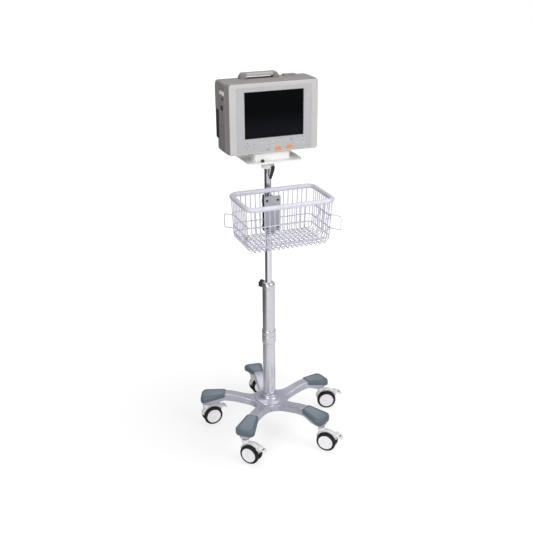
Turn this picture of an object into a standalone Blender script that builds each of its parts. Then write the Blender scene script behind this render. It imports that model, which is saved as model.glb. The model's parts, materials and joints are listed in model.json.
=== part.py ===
"""Patient monitor on a roll stand: five-castor base, telescopic column, wire basket, tilting monitor.

Metres, +Z up. The front of the monitor faces -Y. The floor is z = 0.
"""
import math

import bmesh
import bpy
from mathutils import Matrix, Vector

# ---------------------------------------------------------------- driving dimensions
GAP = 0.0003                 # clearance between touching pieces
COLUMN_AXIS = (-0.0368, 0.0036)   # column axis in plan, so that the whole footprint is centred

# base
ARMS = {                     # arm name: (arm direction, trailing direction of its castor), degrees
    "front_left": (-131.5, -50.0),
    "front_right": (-59.5, -44.0),
    "right": (12.5, -21.0),
    "rear": (84.5, 4.0),
    "left": (156.5, 3.0),
}
ARM_HALF = 0.0180            # half the width of an arm
ARM_END = 0.2625             # arm end from the column axis
ARM_RADII = (0.150, 0.172, 0.190, 0.210, 0.2305)   # where an arm's straight sides change height
WEB_RADIUS = 0.064           # hub radius between two arms
RISE_START = 0.045           # the arms rise from here to their peak
PEAK_RADIUS = 0.172
ARM_TOP_HUB = 0.122
ARM_TOP_PEAK = 0.144
ARM_SLOPE = 0.15             # fall of an arm's top beyond its peak
ARM_BOTTOM_HUB = 0.096
ARM_BOTTOM_PEAK = 0.114
ARM_BOTTOM_END = 0.094
FOOT_RADIUS = 0.230          # an arm's underside is level from here to its end
ARM_EDGE = 0.003             # chamfer along the arm's edges
HUB_TOP = 0.1485
PAD_START = 0.1725
PAD_END = 0.268
PAD_HALF_IN = 0.0212
PAD_HALF_OUT = 0.038
PAD_CORNER = 0.020
PAD_TOP = 0.147              # at the pad's inner end
PAD_BOTTOM = 0.131           # at the pad's inner end
PAD_BOTTOM_SLOPE = 0.255
PAD_FIT = 0.0007             # side clearance of an arm in its pad
HUB_PROFILE = [              # (radius, height) down the hub's cone
    (0, HUB_TOP), (0.0285, HUB_TOP), (0.0315, 0.1455), (0.036, 0.1335), (0.046, 0.1265),
    (0.0565, 0.1235), (0.0575, 0.110), (0, 0.110),
]

# castors
SWIVEL_RADIUS = 0.250        # swivel axes from the column axis
TRAIL = 0.024                # axle behind the swivel axis
WHEEL_R = 0.0375
WHEEL_SIDES = 20
WHEEL_IN = 0.0060            # inner face of a wheel from the castor's middle plane
WHEEL_OUT = 0.0230           # outer face of a wheel
WEB_HALF = 0.0055            # half thickness of the hood's middle web
AXLE_R = 0.0040
FENDER_IN = 0.0405
FENDER_OUT = 0.0445
HOOD_TOP = 0.0895
STEM_PIN_R = 0.0035
STEM_R = 0.0055
STEM_TOP = 0.1115
STEM_FLANGE_R = 0.0120
STEM_FLANGE_Z = (0.0898, 0.0937)
BOSS_R = 0.0135              # swivel boss of the hood
PEDAL_ANGLE = 42.0           # where the pedal hinge sits round the axle
PEDAL_HINGE_R = 0.0485
PEDAL_OUTLINE = [            # side outline of the pedal's tread from its hinge axis
    (0, 0.0026), (0, -0.0014), (0.012, -0.0058), (0.0235, -0.0115), (0.0255, -0.0090), (0.013, -0.0010),
]
LUG_Y = 0.0145               # pedal lugs from the castor's middle plane

# column
TUBE_R = 0.02375
TUBE_WALL = 0.003
MAST_WALL = 0.002
ROUND_SIDES = 24             # sides of the column's round pieces
SLEEVE_R = 0.0235
MAST_R = 0.0125
COLLAR_R = 0.0262
TUBE_BOTTOM = 0.100
TUBE_TOP = 0.3950
COLLAR_BOTTOM = 0.366
COLLAR_TOP = 0.4215
SLEEVE_TOP = 0.590
CAP_TOP = 0.617
MAST_BOTTOM = 0.350
MAST_TOP = 1.0615
KNOB_ANGLE = 115.0           # direction of the clamp knob in plan, degrees
KNOB_Z = 0.601
KNOB_PROFILE = [             # (radius, distance from the column axis) of the knob
    (0, 0.0395), (0.0100, 0.0395), (0.0150, 0.0375), (0.0165, 0.0350), (0.0165, 0.0310),
    (0.0110, 0.0273), (0.0030, 0.0273), (0.0030, 0.0140), (0, 0.0140),
]
KNOB_FLUTES = 6

# basket
RIM_Z = 0.981
RIM_W = 0.309
RIM_D = 0.190
RIM_BACK_Y = -0.0365
RIM_R = 0.0075
RIM_CORNER = 0.028
CAGE_R = 0.0016              # wire radius
CAGE_INSET = 0.008           # front and side walls lean in by this much at the bottom
CAGE_BOTTOM = 0.8235
CAGE_COLUMNS = 8             # openings along the front
CAGE_ROWS = 5                # openings along a side
CAGE_TOP = RIM_Z - RIM_R - 2 * CAGE_R
HOOK_X = 0.180               # how far the wire hooks reach out from the column axis
HOOK_Z = (0.919, 0.871)
HOOKS = ((1, -0.2265), (4, -0.0480))   # (side wire that carries it, y of its outer end)
PLATE_W = 0.062
PLATE_Z = (0.829, 0.960)
PLATE_T = 0.003
CLAMP_SIZE = (0.066, 0.134)  # width and height
CLAMP_Z = 0.883              # middle of the clamp
CLAMP_FRONT = 0.018          # front face of the clamp from the column axis
CLAMP_WINDOW = 0.078         # height of the two recesses in the clamp

# head
HEAD_Z = (1.050, 1.0650)
HEAD_R = 0.023
TILT_Z = 1.0815
YOKE_Z = 1.0655
MOUNT_PLATE_Z = (1.0895, 1.0945)
MOUNT_PLATE_SIZE = (0.200, 0.160)
ADAPTER_SIZE = (0.130, 0.090)
LEVER_PIVOT = (0.008, -0.0292, 1.058)
LEVER_T = 0.006
LEVER_TAIL = [               # outline of the lever below its round end
    (-0.0075, -0.010), (-0.0150, -0.0370), (-0.0120, -0.0405), (-0.0060, -0.0400), (0.0050, -0.010),
]
PIN_R = 0.0030               # tilt pin
PIN_HALF = 0.0205
EYE_R = 0.0065               # round ends of the yoke's ears and of the tilt barrel
EAR_X = 0.0160
PLATE_SHIFT = -0.010         # middle of the mount plate from the column axis
SCREW_AT = (-0.0473, -0.0757)

# monitor, in its own frame: x from its middle, y back from the front face, z up from its bottom
MONITOR_AT = (-0.004, -0.076, 1.1250)
MON_W = 0.316
MON_H = 0.236
MON_D = 0.132
FLARE = 0.007                # the bezel's sides flare out by this much towards the back
BEZEL_D = 0.026
BEZEL_WALL = 0.005           # thickness of the bezel's front wall
WALL = 0.003
SCREEN_W = 0.2112
SCREEN_H = 0.1560
SCREEN_Z = 0.0520
PANEL_W = 0.268
PANEL_Z = (0.0060, 0.2220)
PANEL_T = 0.0012
KEY_SIZE = (0.019, 0.010)
KEYS = {"left": (0.0135, 0.0120), "right": (0.0545, 0.0145)}
HANDLE_X = (-0.087, 0.052)
HANDLE_Y = 0.102             # middle of the handle
HANDLE_TOP = 0.018           # handle height above the housing
PANEL_YZ = (0.054, 0.150)    # middle of the connector panel
VENT_YZ = (0.1035, 0.092)    # middle of the vent grille
DEEP_FLOOR = 0.046           # floor of the housing's deep hollow
SOCKETS = (                  # (y, z, radius, how far it stands out) on the connector panel
    (0.0665, 0.2020, 0.0065, 0.0045),
    (0.0400, 0.2010, 0.0070, 0.0045),
    (0.0520, 0.1820, 0.0050, 0.0030),
    (0.0615, 0.1510, 0.0080, 0.0035),
)
VENT_PITCH = 0.0071
VENT_SLOTS = 11
BRACKET_W = 0.020            # width of a handle bracket
BRACKET_D = 0.030

# ---------------------------------------------------------------- scene and helpers
for old in list(bpy.data.objects):
    bpy.data.objects.remove(old, do_unlink=True)

PARTS = bpy.data.collections.new("patient_monitor_stand")
CUTTERS = bpy.data.collections.new("cutters")
bpy.context.scene.collection.children.link(PARTS)
bpy.context.scene.collection.children.link(CUTTERS)


def material(name, colour, roughness, metallic=0.0):
    """A plain Principled BSDF material."""
    mat = bpy.data.materials.new(name)
    mat.use_nodes = True
    shader = mat.node_tree.nodes["Principled BSDF"]
    shader.inputs["Base Color"].default_value = (*colour, 1.0)
    shader.inputs["Roughness"].default_value = roughness
    shader.inputs["Metallic"].default_value = metallic
    mat.diffuse_color = (*colour, 1.0)
    return mat


MATERIALS = {
    "cast_aluminium": material("cast_aluminium", (0.62, 0.62, 0.68), 0.32, 0.7),
    "pad_plastic": material("pad_plastic", (0.16, 0.21, 0.25), 0.45),
    "white_plastic": material("white_plastic", (0.86, 0.86, 0.87), 0.25),
    "tyre_rubber": material("tyre_rubber", (0.02, 0.02, 0.02), 0.6),
    "zinc": material("zinc", (0.45, 0.45, 0.47), 0.35, 1.0),
    "satin_aluminium": material("satin_aluminium", (0.70, 0.70, 0.75), 0.28, 0.9),
    "chrome": material("chrome", (0.78, 0.78, 0.80), 0.08, 1.0),
    "black_plastic": material("black_plastic", (0.015, 0.015, 0.016), 0.4),
    "coated_wire": material("coated_wire", (0.80, 0.79, 0.88), 0.35),
    "rim_coating": material("rim_coating", (0.80, 0.79, 0.88), 0.35),
    "module_metal": material("module_metal", (0.55, 0.56, 0.58), 0.4, 0.8),
    "painted_plate": material("painted_plate", (0.55, 0.57, 0.60), 0.35, 0.3),
    "cream_paint": material("cream_paint", (0.88, 0.87, 0.83), 0.4),
    "bezel_plastic": material("bezel_plastic", (0.66, 0.63, 0.60), 0.45),
    "housing_plastic": material("housing_plastic", (0.36, 0.33, 0.31), 0.5),
    "panel_foil": material("panel_foil", (0.60, 0.60, 0.64), 0.4),
    "screen_glass": material("screen_glass", (0.004, 0.004, 0.007), 0.08),
    "grip_plastic": material("grip_plastic", (0.75, 0.66, 0.65), 0.45),
    "orange_key": material("orange_key", (0.85, 0.36, 0.10), 0.4),
    "circuit_board": material("circuit_board", (0.03, 0.20, 0.08), 0.5),
}


def closed(mesh):
    """Weld a mesh and point its faces outwards."""
    work = bmesh.new()
    work.from_mesh(mesh)
    bmesh.ops.remove_doubles(work, verts=work.verts, dist=1e-6)
    bmesh.ops.dissolve_degenerate(work, edges=work.edges, dist=1e-6)
    bmesh.ops.recalc_face_normals(work, faces=work.faces)
    work.to_mesh(mesh)
    work.free()
    return mesh


def evaluated_mesh(obj):
    """The mesh of an object with its modifiers or curve settings applied."""
    bpy.context.view_layer.update()
    graph = bpy.context.evaluated_depsgraph_get()
    return bpy.data.meshes.new_from_object(obj.evaluated_get(graph))


def mesh_of_helper(data, modifier=None):
    """Turn a curve, or a mesh with one modifier set up by `modifier`, into a closed mesh."""
    helper = bpy.data.objects.new("helper", data)
    CUTTERS.objects.link(helper)
    if modifier:
        modifier(helper)
    mesh = evaluated_mesh(helper)
    bpy.data.objects.remove(helper, do_unlink=True)
    return closed(mesh)


def moved(mesh, shift=(0, 0, 0), turn=None):
    """Turn a mesh by a matrix, then shift it."""
    matrix = Matrix.Translation(Vector(shift))
    if turn:
        matrix = matrix @ turn.to_4x4()
    mesh.transform(matrix)
    return mesh


UPRIGHT = Matrix.Rotation(math.radians(90), 3, "X")       # XY outline to XZ outline
SIDEWAYS = Matrix.Rotation(math.radians(90), 3, "Y")      # Z axis to X axis


def plate(outline, thickness, holes=()):
    """A flat outline, centred on z = 0, with the given thickness; holes are outlines too."""
    curve = bpy.data.curves.new("outline", "CURVE")
    curve.dimensions = "2D"
    curve.fill_mode = "BOTH"
    curve.extrude = thickness / 2
    for loop in (outline, *holes):
        spline = curve.splines.new("POLY")
        spline.points.add(len(loop) - 1)
        for point, (x, y) in zip(spline.points, loop):
            point.co = (x, y, 0, 1)
        spline.use_cyclic_u = True
    return mesh_of_helper(curve)


def box(size, centre=(0, 0, 0)):
    """A box from a unit cube."""
    work = bmesh.new()
    bmesh.ops.create_cube(work, size=1.0)
    bmesh.ops.scale(work, vec=size, verts=work.verts)
    bmesh.ops.translate(work, vec=centre, verts=work.verts)
    mesh = bpy.data.meshes.new("box")
    work.to_mesh(mesh)
    work.free()
    return mesh


def cylinder(radius, z_low, z_high, sides=16, centre=(0, 0)):
    """An upright cylinder between two heights."""
    work = bmesh.new()
    bmesh.ops.create_cone(
        work, cap_ends=True, segments=sides, radius1=radius, radius2=radius, depth=z_high - z_low
    )
    bmesh.ops.translate(work, vec=(*centre, (z_low + z_high) / 2), verts=work.verts)
    mesh = bpy.data.meshes.new("cylinder")
    work.to_mesh(mesh)
    work.free()
    return mesh


def turned(profile, sides=20, loop=False):
    """A profile of (radius, height) turned about Z; a loop is a ring-shaped section."""
    mesh = bpy.data.meshes.new("turned")
    count = len(profile)
    edges = [(i, i + 1) for i in range(count - 1)]
    if loop:
        edges.append((count - 1, 0))
    mesh.from_pydata([(r, 0, z) for r, z in profile], edges, [])

    def screw(helper):
        spin = helper.modifiers.new("turn", "SCREW")
        spin.steps = sides
        spin.render_steps = sides
        spin.use_merge_vertices = True
        spin.merge_threshold = 0.00001

    return mesh_of_helper(mesh, screw)


def tube(points, radius, resolution=2, cyclic=False):
    """A round bar along a polyline."""
    curve = bpy.data.curves.new("tube", "CURVE")
    curve.dimensions = "3D"
    curve.bevel_depth = radius
    curve.bevel_resolution = resolution
    curve.use_fill_caps = not cyclic
    spline = curve.splines.new("POLY")
    spline.points.add(len(points) - 1)
    for point, place in zip(spline.points, points):
        point.co = (*place, 1)
    spline.use_cyclic_u = cyclic
    return mesh_of_helper(curve)


def arc(centre, radius, start, end, steps):
    """Points on an arc from start to end, in degrees."""
    points = []
    for i in range(steps + 1):
        angle = math.radians(start + (end - start) * i / steps)
        points.append((centre[0] + radius * math.cos(angle), centre[1] + radius * math.sin(angle)))
    return points


def rounded_rectangle(width, depth, corner, centre=(0, 0), steps=3):
    """A rectangle with rounded corners, anticlockwise."""
    points = []
    for side_x, side_y, start in ((1, 1, 0), (-1, 1, 90), (-1, -1, 180), (1, -1, 270)):
        middle = (
            centre[0] + side_x * (width / 2 - corner),
            centre[1] + side_y * (depth / 2 - corner),
        )
        points += arc(middle, corner, start, start + 90, steps)
    return points


def bevelled(mesh, width, segments, chosen):
    """Bevel the edges for which chosen(edge) is true."""
    work = bmesh.new()
    work.from_mesh(mesh)
    edges = [edge for edge in work.edges if len(edge.link_faces) == 2 and chosen(edge)]
    bmesh.ops.bevel(
        work, geom=edges, offset=width, segments=segments, profile=0.5, affect="EDGES", clamp_overlap=True
    )
    work.to_mesh(mesh)
    work.free()
    return closed(mesh)


def edge_at_height(z):
    """Choose the sharp edges that lie at height z."""

    def chosen(edge):
        level = all(abs(vert.co.z - z) < 1e-6 for vert in edge.verts)
        return level and edge.calc_face_angle(0) > 0.5

    return chosen


def sharp(edge):
    """Choose every edge sharper than about 60 degrees."""
    return edge.calc_face_angle(0) > 1.0


def long_sharp(shortest):
    """Choose the sharp edges longer than a length."""
    return lambda edge: sharp(edge) and edge.calc_length() > shortest


def with_shape(mesh, other, operation):
    """Boolean of two meshes in the same frame."""

    def boolean(helper):
        step = helper.modifiers.new("boolean", "BOOLEAN")
        step.operation = operation
        step.solver = "EXACT"
        step.object = tool

    tool = bpy.data.objects.new("tool", other)
    CUTTERS.objects.link(tool)
    result = mesh_of_helper(mesh, boolean)
    bpy.data.objects.remove(tool, do_unlink=True)
    return result


def join(mesh, *others):
    """Union of meshes."""
    for other in others:
        mesh = with_shape(mesh, other, "UNION")
    return mesh


def cut(mesh, *others):
    """A mesh with others taken away."""
    for other in others:
        mesh = with_shape(mesh, other, "DIFFERENCE")
    return mesh


def frame_empty(name, parent=None, location=(0, 0, 0), turn_z=0.0):
    """An empty that carries pieces."""
    empty = bpy.data.objects.new(name, None)
    PARTS.objects.link(empty)
    empty.parent = parent
    empty.location = location
    empty.rotation_euler = (0, 0, math.radians(turn_z))
    return empty


def piece(name, mesh, mat, parent, location=(0, 0, 0), rotation=(0, 0, 0)):
    """One named sub-part; its origin is at `location` in its parent's frame."""
    obj = bpy.data.objects.new(name, mesh)
    PARTS.objects.link(obj)
    obj.parent = parent
    obj.location = location
    obj.rotation_euler = rotation
    if not mesh.materials:
        mesh.materials.append(MATERIALS[mat])
        mesh.shade_smooth()
        mesh.set_sharp_from_angle(angle=math.radians(35))
    return obj


def smooth_rise(radius, start, end):
    """0 before start, 1 after end, smooth between."""
    t = min(max((radius - start) / (end - start), 0), 1)
    return t * t * (3 - 2 * t)


# ---------------------------------------------------------------- base
def star_outline(inset):
    """Plan outline of the five-arm base, moved in by inset."""
    half = ARM_HALF - inset
    end = ARM_END - inset
    web = WEB_RADIUS - inset
    points = []
    for direction, _ in ARMS.values():
        right_side = []
        for offset in (-36, -27, -20, -14.5, -10.5, -8.2):
            reach = half / math.sin(math.radians(-offset))
            radius = (reach**3 + web**3) ** (1 / 3)
            right_side.append((radius, offset))
        left_side = [(radius, -offset) for radius, offset in reversed(right_side[1:])]
        corner = 0.006
        tip = [(radius, -half) for radius in ARM_RADII]
        tip += [(end - corner, -half), (end, -half + corner), (end, half - corner), (end - corner, half)]
        tip += [(radius, half) for radius in reversed(ARM_RADII)]
        tip = [(math.hypot(x, y), math.degrees(math.atan2(y, x))) for x, y in tip]
        for radius, offset in right_side + tip + left_side:
            angle = math.radians(direction + offset)
            points.append((radius * math.cos(angle), radius * math.sin(angle)))
    return points


def arm_top(radius):
    """Height of an arm's top: it rises from the hub to a peak, then falls evenly."""
    if radius > PEAK_RADIUS:
        return ARM_TOP_PEAK - ARM_SLOPE * (radius - PEAK_RADIUS)
    return ARM_TOP_HUB + (ARM_TOP_PEAK - ARM_TOP_HUB) * smooth_rise(radius, RISE_START, PEAK_RADIUS)


def arm_bottom(radius):
    """Height of an arm's underside: up to a peak, then down to a level foot."""
    if radius > PEAK_RADIUS:
        fall = smooth_rise(radius, PEAK_RADIUS, FOOT_RADIUS)
        return ARM_BOTTOM_PEAK + (ARM_BOTTOM_END - ARM_BOTTOM_PEAK) * fall
    climb = smooth_rise(radius, RISE_START, PEAK_RADIUS)
    return ARM_BOTTOM_HUB + (ARM_BOTTOM_PEAK - ARM_BOTTOM_HUB) * climb


def star_mesh():
    """The arms: four loops joined by strips and capped, then raised to the arms' heights."""
    work = bmesh.new()
    loops = []
    levels = [
        (ARM_EDGE, ARM_TOP_HUB),
        (0, ARM_TOP_HUB - ARM_EDGE),
        (0, ARM_BOTTOM_HUB + ARM_EDGE),
        (ARM_EDGE, ARM_BOTTOM_HUB),
    ]
    for inset, z in levels:
        loops.append([work.verts.new((x, y, z)) for x, y in star_outline(inset)])
    for upper, lower in zip(loops, loops[1:]):
        for i in range(len(upper)):
            j = (i + 1) % len(upper)
            work.faces.new((upper[i], lower[i], lower[j], upper[j]))
    caps = [work.faces.new(loops[0]), work.faces.new(list(reversed(loops[-1])))]
    work.normal_update()
    bmesh.ops.triangulate(work, faces=caps, ngon_method="BEAUTY")
    middle = (ARM_TOP_HUB + ARM_BOTTOM_HUB) / 2
    for vert in work.verts:
        radius = vert.co.xy.length
        if vert.co.z > middle:
            vert.co.z += arm_top(radius) - ARM_TOP_HUB
        else:
            vert.co.z += arm_bottom(radius) - ARM_BOTTOM_HUB
    mesh = bpy.data.meshes.new("star")
    work.to_mesh(mesh)
    work.free()
    return closed(mesh)


def build_base(stand):
    hub = turned(HUB_PROFILE, ROUND_SIDES)
    bore = cylinder(TUBE_R + GAP, 0.070, 0.170, ROUND_SIDES)
    star = join(star_mesh(), hub)
    sockets = []
    for direction, _ in ARMS.values():
        angle = math.radians(direction)
        place = (SWIVEL_RADIUS * math.cos(angle), SWIVEL_RADIUS * math.sin(angle))
        sockets.append(cylinder(STEM_R + GAP, 0.080, 0.1125, sides=12, centre=place))
    piece("base_star", cut(star, bore, *sockets), "cast_aluminium", stand)

    outline = [(PAD_START, PAD_HALF_IN), (PAD_START, -PAD_HALF_IN)]
    inner = PAD_END - PAD_CORNER
    outline += [(PAD_START + 0.012, -PAD_HALF_IN - 0.004)]
    outline += arc((inner, -PAD_HALF_OUT + PAD_CORNER), PAD_CORNER, -80, 0, 3)
    outline += arc((inner, PAD_HALF_OUT - PAD_CORNER), PAD_CORNER, 0, 80, 3)
    outline += [(PAD_START + 0.012, PAD_HALF_IN + 0.004)]
    pad = moved(plate(outline, PAD_TOP - PAD_BOTTOM), (0, 0, (PAD_TOP + PAD_BOTTOM) / 2))
    pad = bevelled(pad, 0.004, 2, edge_at_height(PAD_TOP))
    for vert in pad.vertices:
        share = (vert.co.z - PAD_BOTTOM) / (PAD_TOP - PAD_BOTTOM)
        slope = PAD_BOTTOM_SLOPE + (ARM_SLOPE - PAD_BOTTOM_SLOPE) * share
        vert.co.z -= slope * (vert.co.x - PAD_START)
    pocket_start = PAD_START - 0.02
    pocket_end = ARM_END + GAP
    ceiling = ARM_TOP_PEAK + GAP + ARM_SLOPE * PEAK_RADIUS
    pocket = plate(
        [(pocket_start, 0.060), (pocket_end, 0.060), (pocket_end, ceiling - ARM_SLOPE * pocket_end),
         (pocket_start, ceiling - ARM_SLOPE * pocket_start)],
        2 * (ARM_HALF + PAD_FIT),
    )
    pad = cut(pad, moved(pocket, turn=UPRIGHT))
    for name, (direction, _) in ARMS.items():
        piece(f"arm_pad_{name}", pad, "pad_plastic", stand, rotation=(0, 0, math.radians(direction)))


# ---------------------------------------------------------------- castors
def axle_arc(radius, start, end, steps):
    """Arc round the axle in the castor's middle plane, as (x, z) points."""
    return arc((TRAIL, WHEEL_R), radius, start, end, steps)


def hood_mesh():
    """Fender band, middle web, swivel boss, axle and pedal lugs in one moulding."""
    band = axle_arc(FENDER_OUT, 168, 22, 10) + axle_arc(FENDER_IN, 22, 168, 10)
    fender = moved(plate(band, 2 * WHEEL_OUT), turn=UPRIGHT)
    fan = axle_arc(0.0425, 166, 24, 10) + axle_arc(0.012, -40, -140, 4)
    web = moved(plate(fan, 2 * WEB_HALF), turn=UPRIGHT)
    boss = turned(
        [(0, HOOD_TOP), (BOSS_R - 0.002, HOOD_TOP), (BOSS_R, 0.0870), (BOSS_R, 0.0760), (0, 0.0760)],
        sides=16,
    )
    axle = moved(cylinder(AXLE_R, -0.0180, 0.0180, sides=12), (TRAIL, 0, WHEEL_R), UPRIGHT)
    hinge = axle_arc(PEDAL_HINGE_R, PEDAL_ANGLE, PEDAL_ANGLE, 1)[0]
    root_high = axle_arc(0.0430, PEDAL_ANGLE + 9, PEDAL_ANGLE + 9, 1)[0]
    root_low = axle_arc(0.0430, PEDAL_ANGLE - 9, PEDAL_ANGLE - 9, 1)[0]
    lug_outline = [root_high, *arc(hinge, 0.0034, 100, -20, 4), root_low]
    hood = join(fender, web, boss, axle)
    for side in (-1, 1):
        lug = moved(plate(lug_outline, 0.003), (0, side * LUG_Y, 0), UPRIGHT)
        hood = join(hood, lug)
    pin_hole = moved(cylinder(0.0018, -0.020, 0.020, sides=8), (hinge[0], 0, hinge[1]), UPRIGHT)
    stem_hole = cylinder(STEM_PIN_R + GAP, 0.0665, 0.100, sides=12)
    return cut(hood, pin_hole, stem_hole)


def wheel_mesh():
    """Tyre, hub and disc; the axis is Z, the inner face at z = 0, circumscribed about the tread circle."""
    wide = WHEEL_OUT - WHEEL_IN
    tread = WHEEL_R / math.cos(math.pi / WHEEL_SIDES)
    return turned(
        [(0, wide), (0.0290, wide), (0.0300, wide - 0.0012), (tread - 0.0025, wide - 0.0012),
         (tread, wide - 0.0045), (tread, 0.0030), (tread - 0.0030, 0), (AXLE_R + GAP, 0),
         (AXLE_R + GAP, 0.0125), (0, 0.0125)],
        sides=WHEEL_SIDES,
    )


def pedal_mesh():
    """Brake pedal about its own hinge axis, which lies along Y through the origin."""
    barrel = moved(cylinder(0.0030, -0.0126, 0.0126, sides=10), turn=UPRIGHT)
    pins = moved(cylinder(0.0015, -0.0155, 0.0155, sides=8), turn=UPRIGHT)
    tread = moved(plate(PEDAL_OUTLINE, 0.0240), turn=UPRIGHT)
    slot = box((0.0045, 0.0150, 0.0030), (0.0165, 0, -0.0028))
    return cut(join(barrel, pins, tread), slot)


def build_castors(stand):
    hood = hood_mesh()
    wheel = wheel_mesh()
    pedal = pedal_mesh()
    flange_low, flange_high = STEM_FLANGE_Z
    stem = turned(
        [(0, STEM_TOP), (STEM_R - 0.001, STEM_TOP), (STEM_R, STEM_TOP - 0.001), (STEM_R, flange_high),
         (STEM_FLANGE_R, flange_high), (STEM_FLANGE_R, flange_low), (STEM_PIN_R, flange_low),
         (STEM_PIN_R, 0.0680), (0, 0.0680)],
        sides=12,
    )
    half_step = math.pi / WHEEL_SIDES
    hinge_x, hinge_z = axle_arc(PEDAL_HINGE_R, PEDAL_ANGLE, PEDAL_ANGLE, 1)[0]
    for name, (direction, trailing) in ARMS.items():
        angle = math.radians(direction)
        place = (SWIVEL_RADIUS * math.cos(angle), SWIVEL_RADIUS * math.sin(angle), 0)
        swivel = frame_empty(f"castor_{name}", stand, place, trailing)
        piece(f"castor_stem_{name}", stem, "zinc", swivel)
        piece(f"castor_hood_{name}", hood, "white_plastic", swivel)
        quarter = math.radians(90)
        for side, label, turn in ((-1, "near", quarter), (1, "far", -quarter)):
            piece(
                f"wheel_{label}_{name}", wheel, "tyre_rubber", swivel,
                (TRAIL, side * WHEEL_IN, WHEEL_R), (turn, quarter + half_step, 0),
            )
        piece(f"castor_pedal_{name}", pedal, "white_plastic", swivel, (hinge_x, 0, hinge_z))


# ---------------------------------------------------------------- column
def pipe_mesh(radius, wall, z_low, z_high):
    """An upright tube between two heights."""
    inner = radius - wall
    return turned([(radius, z_high), (radius, z_low), (inner, z_low), (inner, z_high)], ROUND_SIDES, True)


def build_column(stand):
    piece("lower_tube", pipe_mesh(TUBE_R, TUBE_WALL, TUBE_BOTTOM, TUBE_TOP), "satin_aluminium", stand)

    seat = TUBE_TOP + 2 * GAP
    collar = turned(
        [(SLEEVE_R + GAP, COLLAR_TOP), (0.0250, COLLAR_TOP), (COLLAR_R, COLLAR_TOP - 0.003),
         (COLLAR_R, 0.3735), (0.0250, COLLAR_BOTTOM), (TUBE_R + GAP, COLLAR_BOTTOM),
         (TUBE_R + GAP, seat), (SLEEVE_R - 0.0030, seat), (SLEEVE_R - 0.0030, seat + 0.002),
         (SLEEVE_R + GAP, seat + 0.002)],
        ROUND_SIDES, True,
    )
    piece("column_collar", collar, "satin_aluminium", stand)

    sleeve_low = seat + 0.002 + GAP
    piece("upper_sleeve", pipe_mesh(SLEEVE_R, TUBE_WALL, sleeve_low, SLEEVE_TOP), "satin_aluminium", stand)

    bore = MAST_R + GAP
    plug = SLEEVE_R - TUBE_WALL - GAP
    plug_low = SLEEVE_TOP - 0.020
    cap = turned(
        [(bore, CAP_TOP), (0.0165, CAP_TOP), (0.0215, CAP_TOP - 0.003), (0.0240, CAP_TOP - 0.009),
         (0.0240, SLEEVE_TOP + GAP), (plug, SLEEVE_TOP + GAP), (plug, plug_low), (bore, plug_low)],
        ROUND_SIDES, True,
    )
    toward = Matrix.Rotation(math.radians(KNOB_ANGLE), 3, "Z") @ SIDEWAYS
    boss = moved(cylinder(0.0090, 0.0180, 0.0270, sides=12), (0, 0, KNOB_Z), toward)
    stud_hole = moved(cylinder(0.0030 + GAP, 0.0100, 0.0300, sides=10), (0, 0, KNOB_Z), toward)
    piece("sleeve_cap", cut(join(cap, boss), stud_hole), "satin_aluminium", stand)

    knob = turned(KNOB_PROFILE, sides=18)
    flutes = []
    for i in range(KNOB_FLUTES):
        angle = 2 * math.pi * i / KNOB_FLUTES
        place = (0.0205 * math.cos(angle), 0.0205 * math.sin(angle))
        flutes.append(cylinder(0.0068, 0.025, 0.042, sides=10, centre=place))
    facing = (0, math.radians(90), math.radians(KNOB_ANGLE))
    piece("clamp_knob", cut(knob, *flutes), "black_plastic", stand, (0, 0, KNOB_Z), facing)

    carriage = frame_empty("mast_slide", stand)
    piece("mast", pipe_mesh(MAST_R, MAST_WALL, MAST_BOTTOM, MAST_TOP), "chrome", carriage)
    return carriage


# ---------------------------------------------------------------- basket
def cage_inset(level):
    """How far the front and side walls have leaned in at a height."""
    return CAGE_INSET * (CAGE_TOP - level) / (CAGE_TOP - CAGE_BOTTOM)


def cage_point(side, row, level):
    """A point on a side wall's vertical wire; side is -1 or 1."""
    inset = cage_inset(level)
    return side * (RIM_W / 2 - inset), RIM_BACK_Y - (1 - row / CAGE_ROWS) * (RIM_D - inset), level


def cage_mesh():
    """Open-topped cage of square wires; its back is upright, its other sides lean in a little."""
    columns = CAGE_COLUMNS
    rows = CAGE_ROWS
    levels = [CAGE_TOP, CAGE_TOP - 0.052, CAGE_TOP - 0.104, CAGE_BOTTOM + CAGE_R]
    work = bmesh.new()

    def corner(u, v, level):
        x = (2 * u / columns - 1) * (RIM_W / 2 - cage_inset(level))
        return work.verts.new((x, cage_point(1, v, level)[1], level))

    around = [(u, 0) for u in range(columns)] + [(columns, v) for v in range(rows)]
    around += [(columns - u, rows) for u in range(columns)] + [(0, rows - v) for v in range(rows)]
    rings = [[corner(u, v, level) for u, v in around] for level in levels]
    for upper, lower in zip(rings, rings[1:]):
        for i in range(len(around)):
            j = (i + 1) % len(around)
            work.faces.new((upper[i], lower[i], lower[j], upper[j]))
    floor = {}
    for place, vert in zip(around, rings[-1]):
        floor[place] = vert
    for u in range(1, columns):
        for v in range(1, rows):
            floor[(u, v)] = corner(u, v, levels[-1])
    for u in range(columns):
        for v in range(rows):
            work.faces.new((floor[(u, v)], floor[(u, v + 1)], floor[(u + 1, v + 1)], floor[(u + 1, v)]))
    mesh = bpy.data.meshes.new("cage")
    work.to_mesh(mesh)
    work.free()

    def wires(helper):
        lattice = helper.modifiers.new("wires", "WIREFRAME")
        lattice.thickness = 2 * CAGE_R
        lattice.use_even_offset = False
        lattice.use_boundary = True
        lattice.use_replace = True

    return mesh_of_helper(mesh, wires)


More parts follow.
